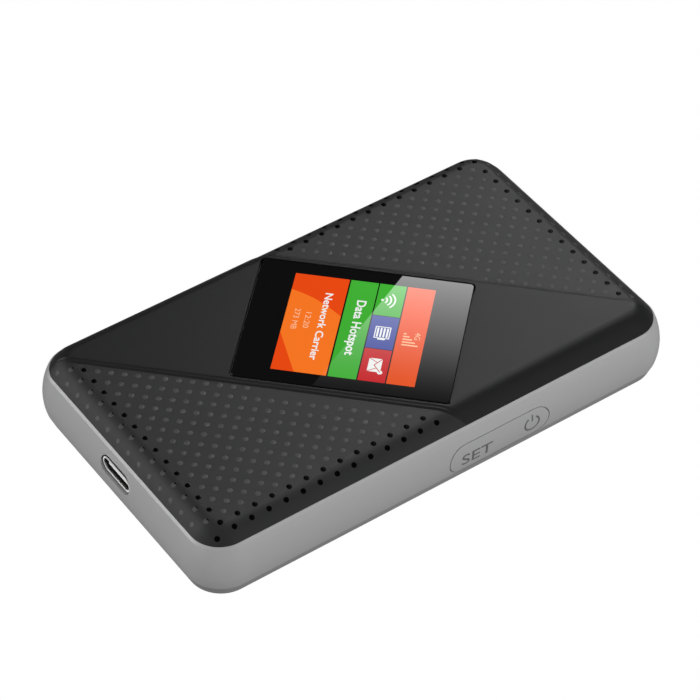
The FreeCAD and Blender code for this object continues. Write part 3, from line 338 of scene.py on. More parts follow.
def lettering(name, text, size, low, high, place, centre, width, weight=0.0):
    """Text as a closed mesh between two heights, centred on a point and made a given width."""
    curve = bpy.data.curves.new(name, "FONT")
    curve.body, curve.size, curve.offset = text, size, weight
    curve.align_x = curve.align_y = "CENTER"
    curve.resolution_u = 4
    curve.extrude = (high - low) / 2
    helper = new_object(name, curve)
    bpy.context.view_layer.update()
    mesh = bpy.data.meshes.new_from_object(
        helper.evaluated_get(bpy.context.evaluated_depsgraph_get()))
    bpy.data.objects.remove(helper)
    shape = bmesh.new()
    shape.from_mesh(mesh)
    bmesh.ops.remove_doubles(shape, verts=shape.verts, dist=1e-7)
    bmesh.ops.recalc_face_normals(shape, faces=shape.faces)
    xs = [v.co.x for v in shape.verts]
    ys = [v.co.y for v in shape.verts]
    stretch = width / (max(xs) - min(xs))
    shape.transform(Matrix.Diagonal((stretch, 1.0, 1.0, 1.0)))
    shift = Vector((centre[0] - stretch * (min(xs) + max(xs)) / 2,
                    centre[1] - (min(ys) + max(ys)) / 2, (low + high) / 2))
    shape.transform(place @ Matrix.Translation(shift))
    mesh.name = name
    return made(shape, mesh)


def arc(middle, radius, start, end, steps=12):
    """Points on an arc, in degrees."""
    angles = [math.radians(start + (end - start) * n / steps) for n in range(steps + 1)]
    return [(middle[0] + radius * math.cos(angle), middle[1] + radius * math.sin(angle))
            for angle in angles]


def arc_band(middle, inner, outer, start, end, steps=12):
    """Outline of a bent stroke."""
    return arc(middle, outer, start, end, steps) + arc(middle, inner, end, start, steps)


def block(left, low, right, high):
    """Outline of a rectangle."""
    return [(left, low), (right, low), (right, high), (left, high)]


def stroke(start, end, width):
    """Outline of a straight stroke."""
    along = Vector((end[0] - start[0], end[1] - start[1])).normalized()
    side = Vector((-along.y, along.x)) * width / 2
    return [(x + sign * side.x, y + sign * side.y)
            for (x, y), sign in ((start, -1), (end, -1), (end, 1), (start, 1))]


def baked(piece, modifier):
    """Turn a piece's evaluated shape into its plain mesh and drop the modifier."""
    bpy.context.view_layer.update()
    shown = piece.evaluated_get(bpy.context.evaluated_depsgraph_get())
    mesh = bpy.data.meshes.new_from_object(shown)
    piece.modifiers.remove(modifier)
    old = piece.data
    piece.data = mesh
    mesh.name = piece.name
    bpy.data.meshes.remove(old)
    return mesh


def node_modifier(piece, tree, settings, **values):
    """Geometry Nodes modifier, its inputs set from values or from settings of the same name."""
    modifier = piece.modifiers.new(tree.name, "NODES")
    modifier.node_group = tree
    for item in tree.interface.items_tree:
        key = item.name.lower().replace(" ", "_")
        if item.item_type == "SOCKET" and item.in_out == "INPUT" and key != "geometry":
            modifier[item.identifier] = values[key] if key in values else getattr(settings, key)
    return modifier


def new_tree(name, **inputs):
    """Geometry Nodes tree with named inputs of each kind; returns it and its inputs' sockets."""
    tree = bpy.data.node_groups.new(name, "GeometryNodeTree")
    sockets = [("Geometry", "INPUT", "Geometry")]
    sockets += [(label, "INPUT", kind) for kind, labels in inputs.items() for label in labels]
    for label, side, kind in sockets + [("Geometry", "OUTPUT", "Geometry")]:
        tree.interface.new_socket(label, in_out=side, socket_type=f"NodeSocket{kind}")
    return tree, add_node(tree, "NodeGroupInput").outputs


def end_tree(tree, geometry, *paints):
    """Realize Instances, one Set Material for each pair of finish and selection, and the output."""
    geometry = add_node(tree, "GeometryNodeRealizeInstances", {0: geometry}).outputs[0]
    for material, chosen in paints:
        geometry = add_node(tree, "GeometryNodeSetMaterial", {
            "Geometry": geometry, "Selection": chosen, "Material": material}).outputs[0]
    add_node(tree, "NodeGroupOutput", {0: geometry})
    return tree


def plan_place(tree):
    """X and Y of the points that a tree works on."""
    spot = add_node(tree, "GeometryNodeInputPosition").outputs[0]
    return add_node(tree, "ShaderNodeSeparateXYZ", {0: spot}).outputs[:2]


# ---- cover

def rim_outline(half_x, half_y, corner, steps=18):
    """Rounded rectangle as plan points, its straight sides divided too."""
    bends = [arc((side_x * (half_x - corner), side_y * (half_y - corner)), corner, start,
                 start + 90, steps)
             for side_x, side_y, start in ((1, 1, 0), (-1, 1, 90), (-1, -1, 180), (1, -1, 270))]
    points = []
    for bend, following in zip(bends, bends[1:] + bends[:1]):
        points += bend
        (x, y), (ahead_x, ahead_y) = bend[-1], following[0]
        points += [(x + (ahead_x - x) * share, y + (ahead_y - y) * share)
                   for share in (0.2, 0.4, 0.6, 0.8)]
    return points


def rim_inset(settings, x, y):
    """How far a plan point is inside the cover's rim."""
    half_x, half_y = COVER_HALF
    corner = settings.cover_corner
    away_x, away_y = abs(x) - (half_x - corner), abs(y) - (half_y - corner)
    return corner - math.hypot(max(away_x, 0), max(away_y, 0)) - min(max(away_x, away_y), 0)


def turned(points):
    """Points of the display's own axes (along the band, across it) in the plan of the case."""
    return [((along + across) / ROOT_TWO, (across - along) / ROOT_TWO) for along, across in points]


def cover_plan(settings):
    """Flat plan of the cover as layers: outside skin, window seat and underside.

    Each vertex carries its layer, and the crown tree lifts it from there.
    """
    half_x, half_y = COVER_HALF
    points, lines = [], []

    def loop(ring):
        first = len(points)
        points.extend(ring)
        lines.extend((first + n, first + (n + 1) % len(ring)) for n in range(len(ring)))

    for step in range(CROWN_STEPS + 1):
        inset = settings.crown_width * step / CROWN_STEPS
        loop(rim_outline(half_x - inset, half_y - inset, settings.cover_corner - inset))
    reach = half_x + half_y
    for share in (0.0, STEP_START, STEP_END, 1.0):
        across = settings.band_half + share * settings.bevel_width
        for side in (-1, 1):
            first = len(points)
            points.extend(turned([(-reach, side * across), (reach, side * across)]))
            lines.append((first, first + 1))
    opening = [half + settings.window_groove for half in WINDOW_HALF]
    round_off = settings.window_groove + WINDOW_CORNER
    loop(turned(rim_outline(*opening, round_off, 6)))
    near, far, half = MODULE_HOLE
    loop(turned(block(near, -half, far, half)))
    plan, _, faces, *_ = delaunay_2d_cdt([Vector(p) for p in points], lines, [], 0, 1e-8)

    def region(x, y):
        """Part of the cover that a plan point is in: cover, window seat or module hole."""
        along, across = (x - y) / ROOT_TWO, (x + y) / ROOT_TWO
        if near < along < far and abs(across) < half:
            return "module"
        away = (abs(along) - opening[0], abs(across) - opening[1])
        deep = (away[0] + round_off, away[1] + round_off)
        if max(away) > 0 or (min(deep) > 0 and math.hypot(*deep) > round_off):
            return "cover"
        return "window"

    shape = bmesh.new()
    layer_of = shape.verts.layers.float.new("layer")
    copies = {}

    def corner_vert(number, layer):
        if (number, layer) not in copies:
            vert = shape.verts.new((plan[number].x, plan[number].y, 0.0))
            vert[layer_of] = layer
            copies[number, layer] = vert
        return copies[number, layer]

    def wall(side, top, foot):
        a, b, _ = side
        shape.faces.new([corner_vert(b, top), corner_vert(a, top), corner_vert(a, foot),
                         corner_vert(b, foot)])

    walls = {}
    for face in faces:
        middle = sum((plan[n] for n in face), Vector((0.0, 0.0))) / len(face)
        where = region(*middle)
        if rim_inset(settings, *middle) <= 0 or where == "module":
            continue
        top = SKIN if where == "cover" else SEAT
        shape.faces.new([corner_vert(n, top) for n in face])
        shape.faces.new([corner_vert(n, UNDERSIDE) for n in reversed(face)])
        for a, b in zip(face, face[1:] + face[:1]):
            walls.setdefault((min(a, b), max(a, b)), []).append((a, b, where))
    for sides in walls.values():
        kinds = {where for _, _, where in sides}
        if len(sides) == 2 and kinds == {"cover", "window"}:
            wall(next(side for side in sides if side[2] == "cover"), SKIN, SEAT)
        elif len(sides) == 1 and kinds == {"window"}:
            wall(sides[0], SEAT, UNDERSIDE)
    return made(shape, "top_cover_skin")


def crown_tree():
    """Lifts the flat plan: rounded edge all round, and the band standing over the grip panels."""
    tree, into = new_tree(
        "Cover Crown",
        Float=("Half Length", "Half Width", "Cover Corner", "Rim", "Crown Width", "Band Rise",
               "Panel Rise", "Band Half", "Bevel Width", "Wall", "Seat"),
        Material=("Band Finish", "Panel Finish"))

    def calc(*operands, **options):
        return maths(tree, *operands, **options)

    x, y = plan_place(tree)
    away = [calc("SUBTRACT", calc("ABSOLUTE", value), calc("SUBTRACT", half, into["Cover Corner"]))
            for value, half in ((x, into["Half Length"]), (y, into["Half Width"]))]
    beyond = [calc("MAXIMUM", value, 0.0) for value in away]
    outward = calc("SQRT", calc("ADD", *(calc("MULTIPLY", value, value) for value in beyond)))
    inward = calc("MINIMUM", calc("MAXIMUM", *away), 0.0)
    inset = calc("SUBTRACT", into["Cover Corner"], calc("ADD", outward, inward))
    rest = calc("SUBTRACT", 1.0, calc("DIVIDE", inset, into["Crown Width"], clamp=True))
    bow = calc("SUBTRACT", 1.0, calc("MULTIPLY", rest, rest))
    across = calc("DIVIDE", calc("ABSOLUTE", calc("ADD", x, y)), ROOT_TWO)
    down = calc("DIVIDE", calc("SUBTRACT", across, into["Band Half"]), into["Bevel Width"])
    slopes = [add_node(tree, "ShaderNodeMapRange", {
        "Value": down, "From Min": start, "From Max": end, "To Max": height}).outputs[0]
        for start, end, height in ((0.0, STEP_START, STEP_FALL), (STEP_END, 1.0, 1.0 - STEP_FALL))]
    fall = calc("MULTIPLY", calc("SUBTRACT", into["Band Rise"], into["Panel Rise"]),
                calc("ADD", *slopes))
    skin = calc("MULTIPLY_ADD", calc("SUBTRACT", into["Band Rise"], fall), bow, into["Rim"])
    under = calc("MAXIMUM", into["Rim"], calc("SUBTRACT", skin, into["Wall"]))
    layer = add_node(tree, "GeometryNodeInputNamedAttribute", {"Name": "layer"}, data_type="FLOAT")
    level = skin
    for below, height in ((SKIN, into["Seat"]), (SEAT, under)):
        level = add_node(tree, "GeometryNodeSwitch", {
            "Switch": calc("GREATER_THAN", layer.outputs[0], below + 0.5), "False": level,
            "True": height}, input_type="FLOAT").outputs[0]
    spot = add_node(tree, "ShaderNodeCombineXYZ", {0: x, 1: y, 2: level})
    lift = add_node(tree, "GeometryNodeSetPosition", {
        "Geometry": into["Geometry"], "Position": spot.outputs[0]})
    join = add_node(tree, "GeometryNodeMergeByDistance", {
        "Geometry": lift.outputs[0], "Distance": MERGE_DISTANCE})
    edge = calc("ADD", into["Band Half"], into["Bevel Width"])
    return end_tree(tree, join.outputs[0], (into["Panel Finish"], True),
                    (into["Band Finish"], calc("LESS_THAN", across, edge)))


class HOTSPOT_OT_cover(bpy.types.Operator):
    """Black top cover with its rounded edge, raised display band and window seat"""
    bl_idname = "hotspot.cover"
    bl_label = "Top Cover"

    def execute(self, context):
        settings = context.scene.hotspot_cover
        finishes = context.scene.hotspot_finish
        mesh = cover_plan(settings)
        band = finish("cover_band", finishes.cover, 0.42, grain=16000.0, depth=0.004, spread=0.03,
                      tint=0.08)
        panel = finish("cover_panel", finishes.panel, 0.50, grain=16000.0, depth=0.006, spread=0.04,
                       tint=0.10, specular=0.75)
        piece = stand("top_cover_skin", mesh, "chassis", None)
        mesh.materials.append(panel)
        mesh.materials.append(band)
        modifier = node_modifier(
            piece, crown_tree(), settings, half_length=COVER_HALF[0], half_width=COVER_HALF[1],
            rim=CAD_HIGH.z - settings.band_rise, seat=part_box("display_window")[0].z - 0.1 * MM,
            band_finish=band, panel_finish=panel)
        mesh = baked(piece, modifier)
        mesh.shade_smooth()
        mesh.set_sharp_from_angle(angle=math.radians(12.0))
        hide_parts("top_cover")
        return {"FINISHED"}


# ---- grip dots

def dot_mesh(radius, height, rings=3, sides=12):
    """Shallow dome of a few faces, with a skirt that sinks into the cover."""
    shape = bmesh.new()
    levels = []
    for ring in range(rings):
        angle = math.radians(90.0 * ring / rings)
        size, up = radius * math.cos(angle), height * math.sin(angle)
        levels.append([shape.verts.new((size * math.cos(math.tau * n / sides),
                                        size * math.sin(math.tau * n / sides), up))
                       for n in range(sides)])
    levels.append([shape.verts.new((0.0, 0.0, height))])
    skirt = [shape.verts.new((v.co.x, v.co.y, -height / 2)) for v in levels[0]]
    shape.faces.new(skirt[::-1])
    for below, above in zip([skirt] + levels[:-1], levels):
        for n in range(sides):
            after = (n + 1) % sides
            upper = above if len(above) == 1 else (above[after], above[n])
            shape.faces.new((below[n], below[after], *upper))
    mesh = made(shape, "grip_dot")
    mesh.shade_smooth()
    return mesh


def dot_tree():
    """Stands a dome on the cover under each point, square to the surface there.

    Domes near a long side and on the shoulder of a short end get the shaded finish, near black:
    painted shade for the dark look of the rounded edge there.
    """
    tree, into = new_tree(
        "Grip Dots", Object=("Cover", "Dot"), Material=("Finish", "Edge Finish"),
        Float=("Drop", "Half Length", "Half Width", "Side Strip", "Shoulder", "Shoulder Half"))
    cover, dot = (add_node(tree, "GeometryNodeObjectInfo", {"Object": into[name]},
                           transform_space=space).outputs["Geometry"]
                  for name, space in (("Cover", "RELATIVE"), ("Dot", "ORIGINAL")))
    ray = add_node(tree, "GeometryNodeRaycast", {
        "Target Geometry": cover, "Ray Direction": (0.0, 0.0, -1.0), "Ray Length": into["Drop"]},
        data_type="FLOAT_VECTOR")
    keep = add_node(tree, "GeometryNodeStoreNamedAttribute", {
        "Name": "upright", "Geometry": into["Geometry"], "Value": ray.outputs["Hit Normal"]},
        data_type="FLOAT_VECTOR", domain="POINT")
    fall = add_node(tree, "GeometryNodeSetPosition", {
        "Geometry": keep.outputs["Geometry"], "Selection": ray.outputs["Is Hit"],
        "Position": ray.outputs["Hit Position"]})
    upright = add_node(tree, "GeometryNodeInputNamedAttribute", {"Name": "upright"},
                       data_type="FLOAT_VECTOR")
    turn = add_node(tree, "FunctionNodeAlignRotationToVector", {"Vector": upright.outputs[0]},
                    axis="Z")
    spread = add_node(tree, "GeometryNodeInstanceOnPoints", {
        "Points": fall.outputs["Geometry"], "Instance": dot, "Rotation": turn.outputs["Rotation"]})
    # mask of the dots that get painted shade: near a long side or on a short end's shoulder
    from_end, from_side = (
        maths(tree, "SUBTRACT", into[half], maths(tree, "ABSOLUTE", value))
        for half, value in zip(("Half Length", "Half Width"), plan_place(tree)))
    off = maths(tree, "ABSOLUTE", maths(tree, "SUBTRACT", from_end, into["Shoulder"]))
    dark = maths(tree, "MAXIMUM", maths(tree, "LESS_THAN", off, into["Shoulder Half"]),
                 maths(tree, "LESS_THAN", from_side, into["Side Strip"]))
    return end_tree(tree, spread.outputs[0], (into["Finish"], True), (into["Edge Finish"], dark))


class HOTSPOT_OT_grip_dots(bpy.types.Operator):
    """Raised grip dots on both outer panels, down over the rounded edges"""
    bl_idname = "hotspot.grip_dots"
    bl_label = "Grip Dots"

    def execute(self, context):
        settings = context.scene.hotspot_grip
        cover = context.scene.hotspot_cover
        bare = cover.band_half + cover.bevel_width + settings.band_margin
        points = []
        rows = int(CAD_HIGH.x / settings.step_along) + 2
        for i in range(-rows, rows + 1):
            for j in range(-rows, rows + 1):
                x = settings.shift_along + i * settings.step_along
                y = settings.shift_across + j * settings.step_across
                if ((i + j) % 2 == 0 and abs(x + y) / ROOT_TWO > bare
                        and rim_inset(cover, x, y) > settings.rim_margin):
                    points.append((x, y, CAD_HIGH.z + MM))
        cloud = bpy.data.meshes.new("grip_dots")
        cloud.from_pydata(points, [], [])
        piece = stand("grip_dots", cloud, "chassis", None)
        dot = bpy.data.objects.new("grip_dot", dot_mesh(settings.dot_radius, settings.dot_height))
        fine = {"grain": 16000.0, "depth": 0.001, "spread": 0.03, "tint": 0.05}
        # lighter tone than the cover: painted sheen of the domes
        sheen_dot_finish = finish("cover_dot", context.scene.hotspot_finish.dots, 0.45, **fine)
        # painted shade: near-black dots with almost no reflection, where the rounded edge and its
        # shoulder look dark
        dark = finish("cover_dot_edge", (0.001, 0.001, 0.001), 0.25, specular=0.05, **fine)
        modifier = node_modifier(
            piece, dot_tree(), settings, cover=bpy.data.objects["top_cover_skin"], dot=dot,
            drop=20.0 * MM, half_length=COVER_HALF[0], half_width=COVER_HALF[1], finish=sheen_dot_finish,
            edge_finish=dark)
        mesh = baked(piece, modifier)
        if len(mesh.polygons) < DOT_FACES * len(points):
            raise RuntimeError("the grip dots came out empty")
        bpy.data.objects.remove(dot)
        return {"FINISHED"}


# ---- lit picture

# picture's layout, as shares of its length
NETWORK_TILE, MODE_TILE = (0.0, 0.387), (0.398, 0.595)
ICON_TILES, STATUS_TILE = (0.604, 0.794), (0.803, 1.0)

# heights over the window's face: each layer a little above the one below
SUNK, FLUSH, SWEEP_TOP, INK_TOP, FLAP_TOP = (
    level * MM for level in (-0.02, 0.003, 0.005, 0.007, 0.009))


def screen_place(height):
    """Matrix from the picture's own plane (reading direction, up) to the case."""
    right = Vector((-1.0, -1.0, 0.0)) / ROOT_TWO
    up = Vector((1.0, -1.0, 0.0)) / ROOT_TWO
    return Matrix((
        (right.x, up.x, 0.0, 0.0), (right.y, up.y, 0.0, 0.0), (0.0, 0.0, 1.0, height),
        (0.0, 0.0, 0.0, 1.0)))


class HOTSPOT_OT_screen(bpy.types.Operator):
    """Lit picture of the display: tiles, sweeps, icons and generic words"""
    bl_idname = "hotspot.screen"
    bl_label = "Lit Picture"

    def execute(self, context):
        screen = context.scene.hotspot_screen
        place = screen_place(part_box("display_window")[1].z)
        half_s, half_t = screen.half_width, screen.half_length

        def across(share):
            return -half_s + share * 2 * half_s

        def at(share):
            return -half_t + share * 2 * half_t

        def put(name, outlines, material, high=INK_TOP):
            stand(name, prisms(name, outlines, SUNK, high, place), "chassis", material)

        def write(name, text, size, middle, width, ink, weight=0.0):
            mesh = lettering(name, text, size * MM, SUNK, INK_TOP, place, middle, width * MM,
                             weight * MM)
            stand(name, mesh, "chassis", ink)

        third, gap = 2 * half_s / 3, 0.14 * MM
        for name, left, right, (low, high), shade in (
                ("tile_network", -half_s, half_s, NETWORK_TILE, screen.orange),
                ("tile_mode", -half_s, half_s, MODE_TILE, screen.green),
                ("tile_wireless", -half_s, -half_s + third - gap, ICON_TILES, screen.green),
                ("tile_battery", -third / 2, third / 2, ICON_TILES, screen.blue),
                ("tile_message", half_s - third + gap, half_s, ICON_TILES, screen.red),
                ("tile_status", -half_s, half_s, STATUS_TILE, screen.bar)):
            put(name, [block(left, at(low), right, at(high))], lit(name, shade, screen.glow),
                FLUSH)

        # pale sweep over the large tile: bowed on one side, straight on the other
        low_t, high_t = (at(share) for share in NETWORK_TILE)
        tall = high_t - low_t
        sweep = [(across(0.17 + 0.22 * k - 0.03 * math.sin(math.pi * k)), low_t + tall * k)
                 for k in (n / 12 for n in range(13))]
        sweep += [(half_s, high_t), (half_s, low_t + tall * 0.42), (across(0.62), low_t)]
        put("sweep_network", [sweep], lit("sweep_network", screen.pale_orange, screen.glow,
                                          math.radians(45.0)), SWEEP_TOP)

        white = lit("screen_ink", (0.86, 0.88, 0.86), screen.glow, 0.0, 0.02)
        faint = lit("screen_faint_ink", (1.0, 0.52, 0.30), screen.glow, 0.0, 0.02)
        write("words_network", screen.network_line, 2.05, (across(0.515), low_t + tall * 0.70),
              17.6, white, 0.035)
        write("words_clock", screen.clock_line, 1.5, (across(0.47), low_t + tall * 0.42), 4.1,
              faint)
        write("words_usage", screen.usage_line, 1.5, (across(0.47), low_t + tall * 0.21), 5.4,
              faint)
        write("words_mode", screen.mode_line, 2.45, (across(0.485), at(0.4965)), 14.4, white, 0.05)

        # wireless icon: a dot and three arcs
        spot = (-half_s + third * 0.50, at(0.645))
        waves = [arc(spot, 0.26 * MM, 0, 345, 11)]
        waves += [arc_band(spot, r * MM, (r + 0.30) * MM, 42, 138) for r in (0.75, 1.5, 2.25)]
        put("icon_wireless", waves, white)

        # battery icon: case, four strokes and its terminal
        cell_s, cell_t, line = 1.45 * MM, 1.35 * MM, 0.2 * MM
        mid_t = at(0.699)
        cell = [stroke((-cell_s, mid_t + side * cell_t), (cell_s, mid_t + side * cell_t), line)
                for side in (-1, 1)]
        cell += [stroke((side * cell_s, mid_t - cell_t - line / 2),
                        (side * cell_s, mid_t + cell_t + line / 2), line) for side in (-1, 1)]
        for level in (-0.66, -0.22, 0.22, 0.66):
            bar_t = mid_t + cell_t * level
            cell.append(stroke((-cell_s * 0.82, bar_t), (cell_s * 0.82, bar_t), 0.34 * MM))
        cell.append(block(cell_s, mid_t - 0.7 * MM, cell_s + 0.45 * MM, mid_t + 0.7 * MM))
        put("icon_battery", cell, white)

        # message icon: envelope with its flap lines and a round mark
        mid_s = half_s - third / 2
        wide, high = 1.70 * MM, 1.22 * MM
        put("icon_message", [block(mid_s - wide, mid_t - high, mid_s + wide, mid_t + high),
                             arc((mid_s + wide, mid_t + high * 0.95), 0.50 * MM, 0, 345, 15)],
            white)
        tip = (mid_s, mid_t - 0.15 * MM)
        flap = [stroke((mid_s - wide, mid_t + high), tip, 0.17 * MM),
                stroke(tip, (mid_s + wide, mid_t + high), 0.17 * MM)]
        flap += [stroke((mid_s + side * wide, mid_t - high),
                        (mid_s + side * 0.75 * MM, mid_t + 0.3 * MM), 0.15 * MM)
                 for side in (-1, 1)]
        put("icon_message_flap", flap, lit("screen_red_ink", screen.red, screen.glow), FLAP_TOP)

        # signal strength: letters over rising strokes
        step, width, base_t = 0.72, 0.34, at(0.845)
        bars = [block(across(0.475) + n * step * MM, base_t,
                      across(0.475) + (n * step + width) * MM,
                      base_t + (0.55 + 0.62 * n) * MM) for n in range(5)]
        put("icon_signal", bars, faint)
        write("words_signal", "4G", 1.5, (across(0.495), at(0.945)), 1.9, faint)
        return {"FINISHED"}


# ---- key marks

def bow_back(mesh, levels=12):
    """Bend flat marks back onto the bowed face of the key."""
    shape = bmesh.new()
    shape.from_mesh(mesh)
    low = min(vert.co.z for vert in shape.verts)
    high = max(vert.co.z for vert in shape.verts)
    for level in range(1, levels):
        bmesh.ops.bisect_plane(shape, geom=shape.verts[:] + shape.edges[:] + shape.faces[:],
                               plane_co=(0.0, 0.0, low + (high - low) * level / levels),
                               plane_no=(0.0, 0.0, 1.0))
    for vert in shape.verts:
        vert.co.y += WALL_BOW - math.sqrt(WALL_BOW ** 2 - (vert.co.z - WALL_BOW_HEIGHT) ** 2)
    return made(shape, mesh)


class HOTSPOT_OT_key_marks(bpy.types.Operator):
    """Generic word and power sign on the rocker key"""
    bl_idname = "hotspot.key_marks"
    bl_label = "Key Marks"

    def execute(self, context):
        low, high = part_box("rocker_key")
        place = Matrix(((1, 0, 0, (low.x + high.x) / 2), (0, 0, -1, low.y), (0, 1, 0, KEY_MIDDLE),
                        (0, 0, 0, 1)))
        ink = finish("key_ink", context.scene.hotspot_finish.key_marks, 0.55, grain=14000.0,
                     depth=0.002)
        sunk, top = -0.1 * MM, 0.012 * MM
        word = lettering("key_word", "SET", 3.7 * MM, sunk, top, place, (-5.1 * MM, -0.38 * MM),
                         6.9 * MM, 0.02 * MM)
        x, y = 7.3 * MM, 0.10 * MM
        ring = arc_band((x, y), 1.40 * MM, 1.78 * MM, 122, 418, 28)
        bar = block(x - 0.16 * MM, y + 0.5 * MM, x + 0.16 * MM, y + 2.1 * MM)
        sign = prisms("key_power_sign", [ring, bar], sunk, top, place)
        for mesh in (word, sign):
            stand(mesh.name, bow_back(mesh), "key", ink)
        return {"FINISHED"}


# ---- charging port contacts

def row_tree():
    """Copies one contact along a straight row."""
    tree, into = new_tree("Contact Row", Int=("Count",), Vector=("Start", "Step"),
                          Material=("Finish",))
    line = add_node(tree, "GeometryNodeMeshLine", {
        "Count": into["Count"], "Start Location": into["Start"], "Offset": into["Step"]},
        mode="OFFSET")
    copies = add_node(tree, "GeometryNodeInstanceOnPoints", {
        "Points": line.outputs[0], "Instance": into["Geometry"]})
    return end_tree(tree, copies.outputs[0], (into["Finish"], True))


class HOTSPOT_OT_port_contacts(bpy.types.Operator):
    """Gold contacts on both faces of the charging port's tongue, and near-white strips on its tip
    and the port's rim: painted highlights on the metal edges
    """
    bl_idname = "hotspot.port_contacts"
    bl_label = "Port Contacts"

    def execute(self, context):
        port = context.scene.hotspot_port
        tongue_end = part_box("usb_c_tongue")[0].x
        low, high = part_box("usb_c_shell")
        middle_y, middle_z = (low.y + high.y) / 2, (low.z + high.z) / 2
        gold = finish("contact_plating", (0.83, 0.58, 0.25), 0.28, 1.0, grain=9000.0, depth=0.002)
        tree = row_tree()
        half_row = port.contact_step * (port.contact_count - 1) / 2
        for name, side in (("port_contacts_upper", 1), ("port_contacts_lower", -1)):
            mesh = prisms(name, [block(0.0, -port.contact_width / 2, port.contact_length,
                                       port.contact_width / 2)],
                          -0.03 * MM, 0.03 * MM)
            piece = stand(name, mesh, "chassis", gold)
            modifier = node_modifier(
                piece, tree, None, count=port.contact_count, step=(0.0, port.contact_step, 0.0),
                start=(tongue_end + 0.5 * MM, middle_y - half_row,
                       middle_z + side * TONGUE_HALF[1]), finish=gold)
            baked(piece, modifier)
        # near-white strips on the tongue's tip and the shell's mouth: painted highlights of the
        # metal edges
        steel = finish("port_edge", (0.96, 0.96, 0.95), 0.40, 0.1, grain=6000.0, depth=0.002)
        tip = block(tongue_end - 0.04 * MM, middle_y - TONGUE_HALF[0], tongue_end + 0.10 * MM,
                    middle_y + TONGUE_HALF[0])
        tip_height = TONGUE_HALF[1] + 0.02 * MM
        tip = prisms("port_tongue_tip", [tip], middle_z - tip_height, middle_z + tip_height)
        stand("port_tongue_tip", tip, "chassis", steel)
        radius = (high.z - low.z) / 2
        flat = (high.y - low.y) / 2 - radius
        radius, inner = radius + 0.01 * MM, radius - port.rim_width
        ring = [arc_band((flat, 0.0), inner, radius, -90, 90, 16),
                arc_band((-flat, 0.0), inner, radius, 90, 270, 16),
                block(-flat, inner, flat, radius), block(-flat, -radius, flat, -inner)]
        mouth = Matrix(((0, 0, -1, low.x), (-1, 0, 0, middle_y), (0, 1, 0, middle_z), (0, 0, 0, 1)))
        stand("port_rim", prisms("port_rim", ring, -0.10 * MM, 0.02 * MM, mouth), "chassis", steel)
        return {"FINISHED"}


# ---- finishes of the CAD nodes

NODE_FINISHES = {
    # finish: (nodes, colour, roughness, metallic, grain, relief depth, spread, tint)
    "frame_paint": ("middle_frame rocker_key", "frame", 0.36, 0.3, 12000, 0.003, 0.03, 0.05),
    # door: silver paint set darker than the frame's, as painted shade for its downward-facing lower
    # facet
    "door_paint": ("rear_cover", "door", 0.38, 0.3, 12000, 0.003, 0.03, 0.05),
    "window_glass": ("display_window", (0.0025, 0.0025, 0.003), 0, 0, 3000, 0, 0.004, 0.2),
    "adhesive": ("window_adhesive", (0.01, 0.01, 0.01), 0.8, 0, 5000, 0.01, 0.05, 0.2),
    "panel_glass": ("lcd_panel", (0.012, 0.013, 0.016), 0.1, 0, 3000, 0.001, 0.02, 0.2),
    "backlight": ("lcd_backlight_frame", (0.75, 0.75, 0.73), 0.45, 0, 6000, 0.006, 0.05, 0.05),
    "foam": ("lcd_foam_pads", (0.06, 0.06, 0.065), 0.95, 0, 4500, 0.08, 0.03, 0.35),
    "polyimide": ("lcd_flex", (0.48, 0.18, 0.03), 0.3, 0, 4000, 0.003, 0.06, 0.12),
    "socket_plastic": ("lcd_connector", (0.62, 0.56, 0.43), 0.55, 0, 8000, 0.006, 0.05, 0.06),
    "solder_mask": ("main_board", (0.01, 0.09, 0.03), 0.32, 0, 2500, 0.006, 0.06, 0.22),
    "tin_plate": ("modem_shield wifi_shield power_shield sim_holder", (0.62, 0.61, 0.58),
                  0.33, 1, 5000, 0.004, 0.08, 0.06),
    "copper_foil": ("heat_spreader", (0.80, 0.38, 0.20), 0.34, 1, 4000, 0.006, 0.08, 0.08),
    "chip_resin": ("memory_chip charger_chip", (0.018, 0.018, 0.020), 0.58, 0, 9000, 0.006,
                   0.06, 0.15),
    "ceramic": ("board_passives", (0.36, 0.24, 0.14), 0.5, 0, 8000, 0.006, 0.06, 0.12),
    "port_shell": ("usb_c_shell", (0.60, 0.60, 0.59), 0.32, 1, 6000, 0.002, 0.04, 0.03),
    "port_tongue": ("usb_c_tongue battery_connector", (0.022, 0.022, 0.024), 0.48, 0, 8000,
                    0.005, 0.05, 0.12),
    "pin_steel": ("key_pivot_pin case_screws", (0.55, 0.54, 0.52), 0.3, 1, 6000, 0.003, 0.08,
                  0.08),
    "switch_resin": ("pairing_switch_body power_switch_body reset_switch_body",
                     (0.03, 0.03, 0.032), 0.5, 0, 8000, 0.006, 0.05, 0.12),
    "plunger_resin": ("pairing_switch_plunger power_switch_plunger reset_plunger",
                      (0.70, 0.68, 0.62), 0.42, 0, 8000, 0.005, 0.05, 0.05),
    "battery_wrap": ("battery_pack", (0.028, 0.029, 0.033), 0.36, 0, 5000, 0.006, 0.08, 0.15),
    "label_paper": ("battery_label", (0.70, 0.70, 0.68), 0.62, 0, 9000, 0.004, 0.04, 0.04),
    "contact_gold": ("battery_contacts connector_springs", (0.83, 0.58, 0.25), 0.26, 1, 7000,
                     0.002, 0.06, 0.05),
    "antenna_copper": ("main_antenna diversity_antenna wifi_antenna", (0.72, 0.36, 0.20), 0.32,
                       1, 6000, 0.003, 0.06, 0.08),
}


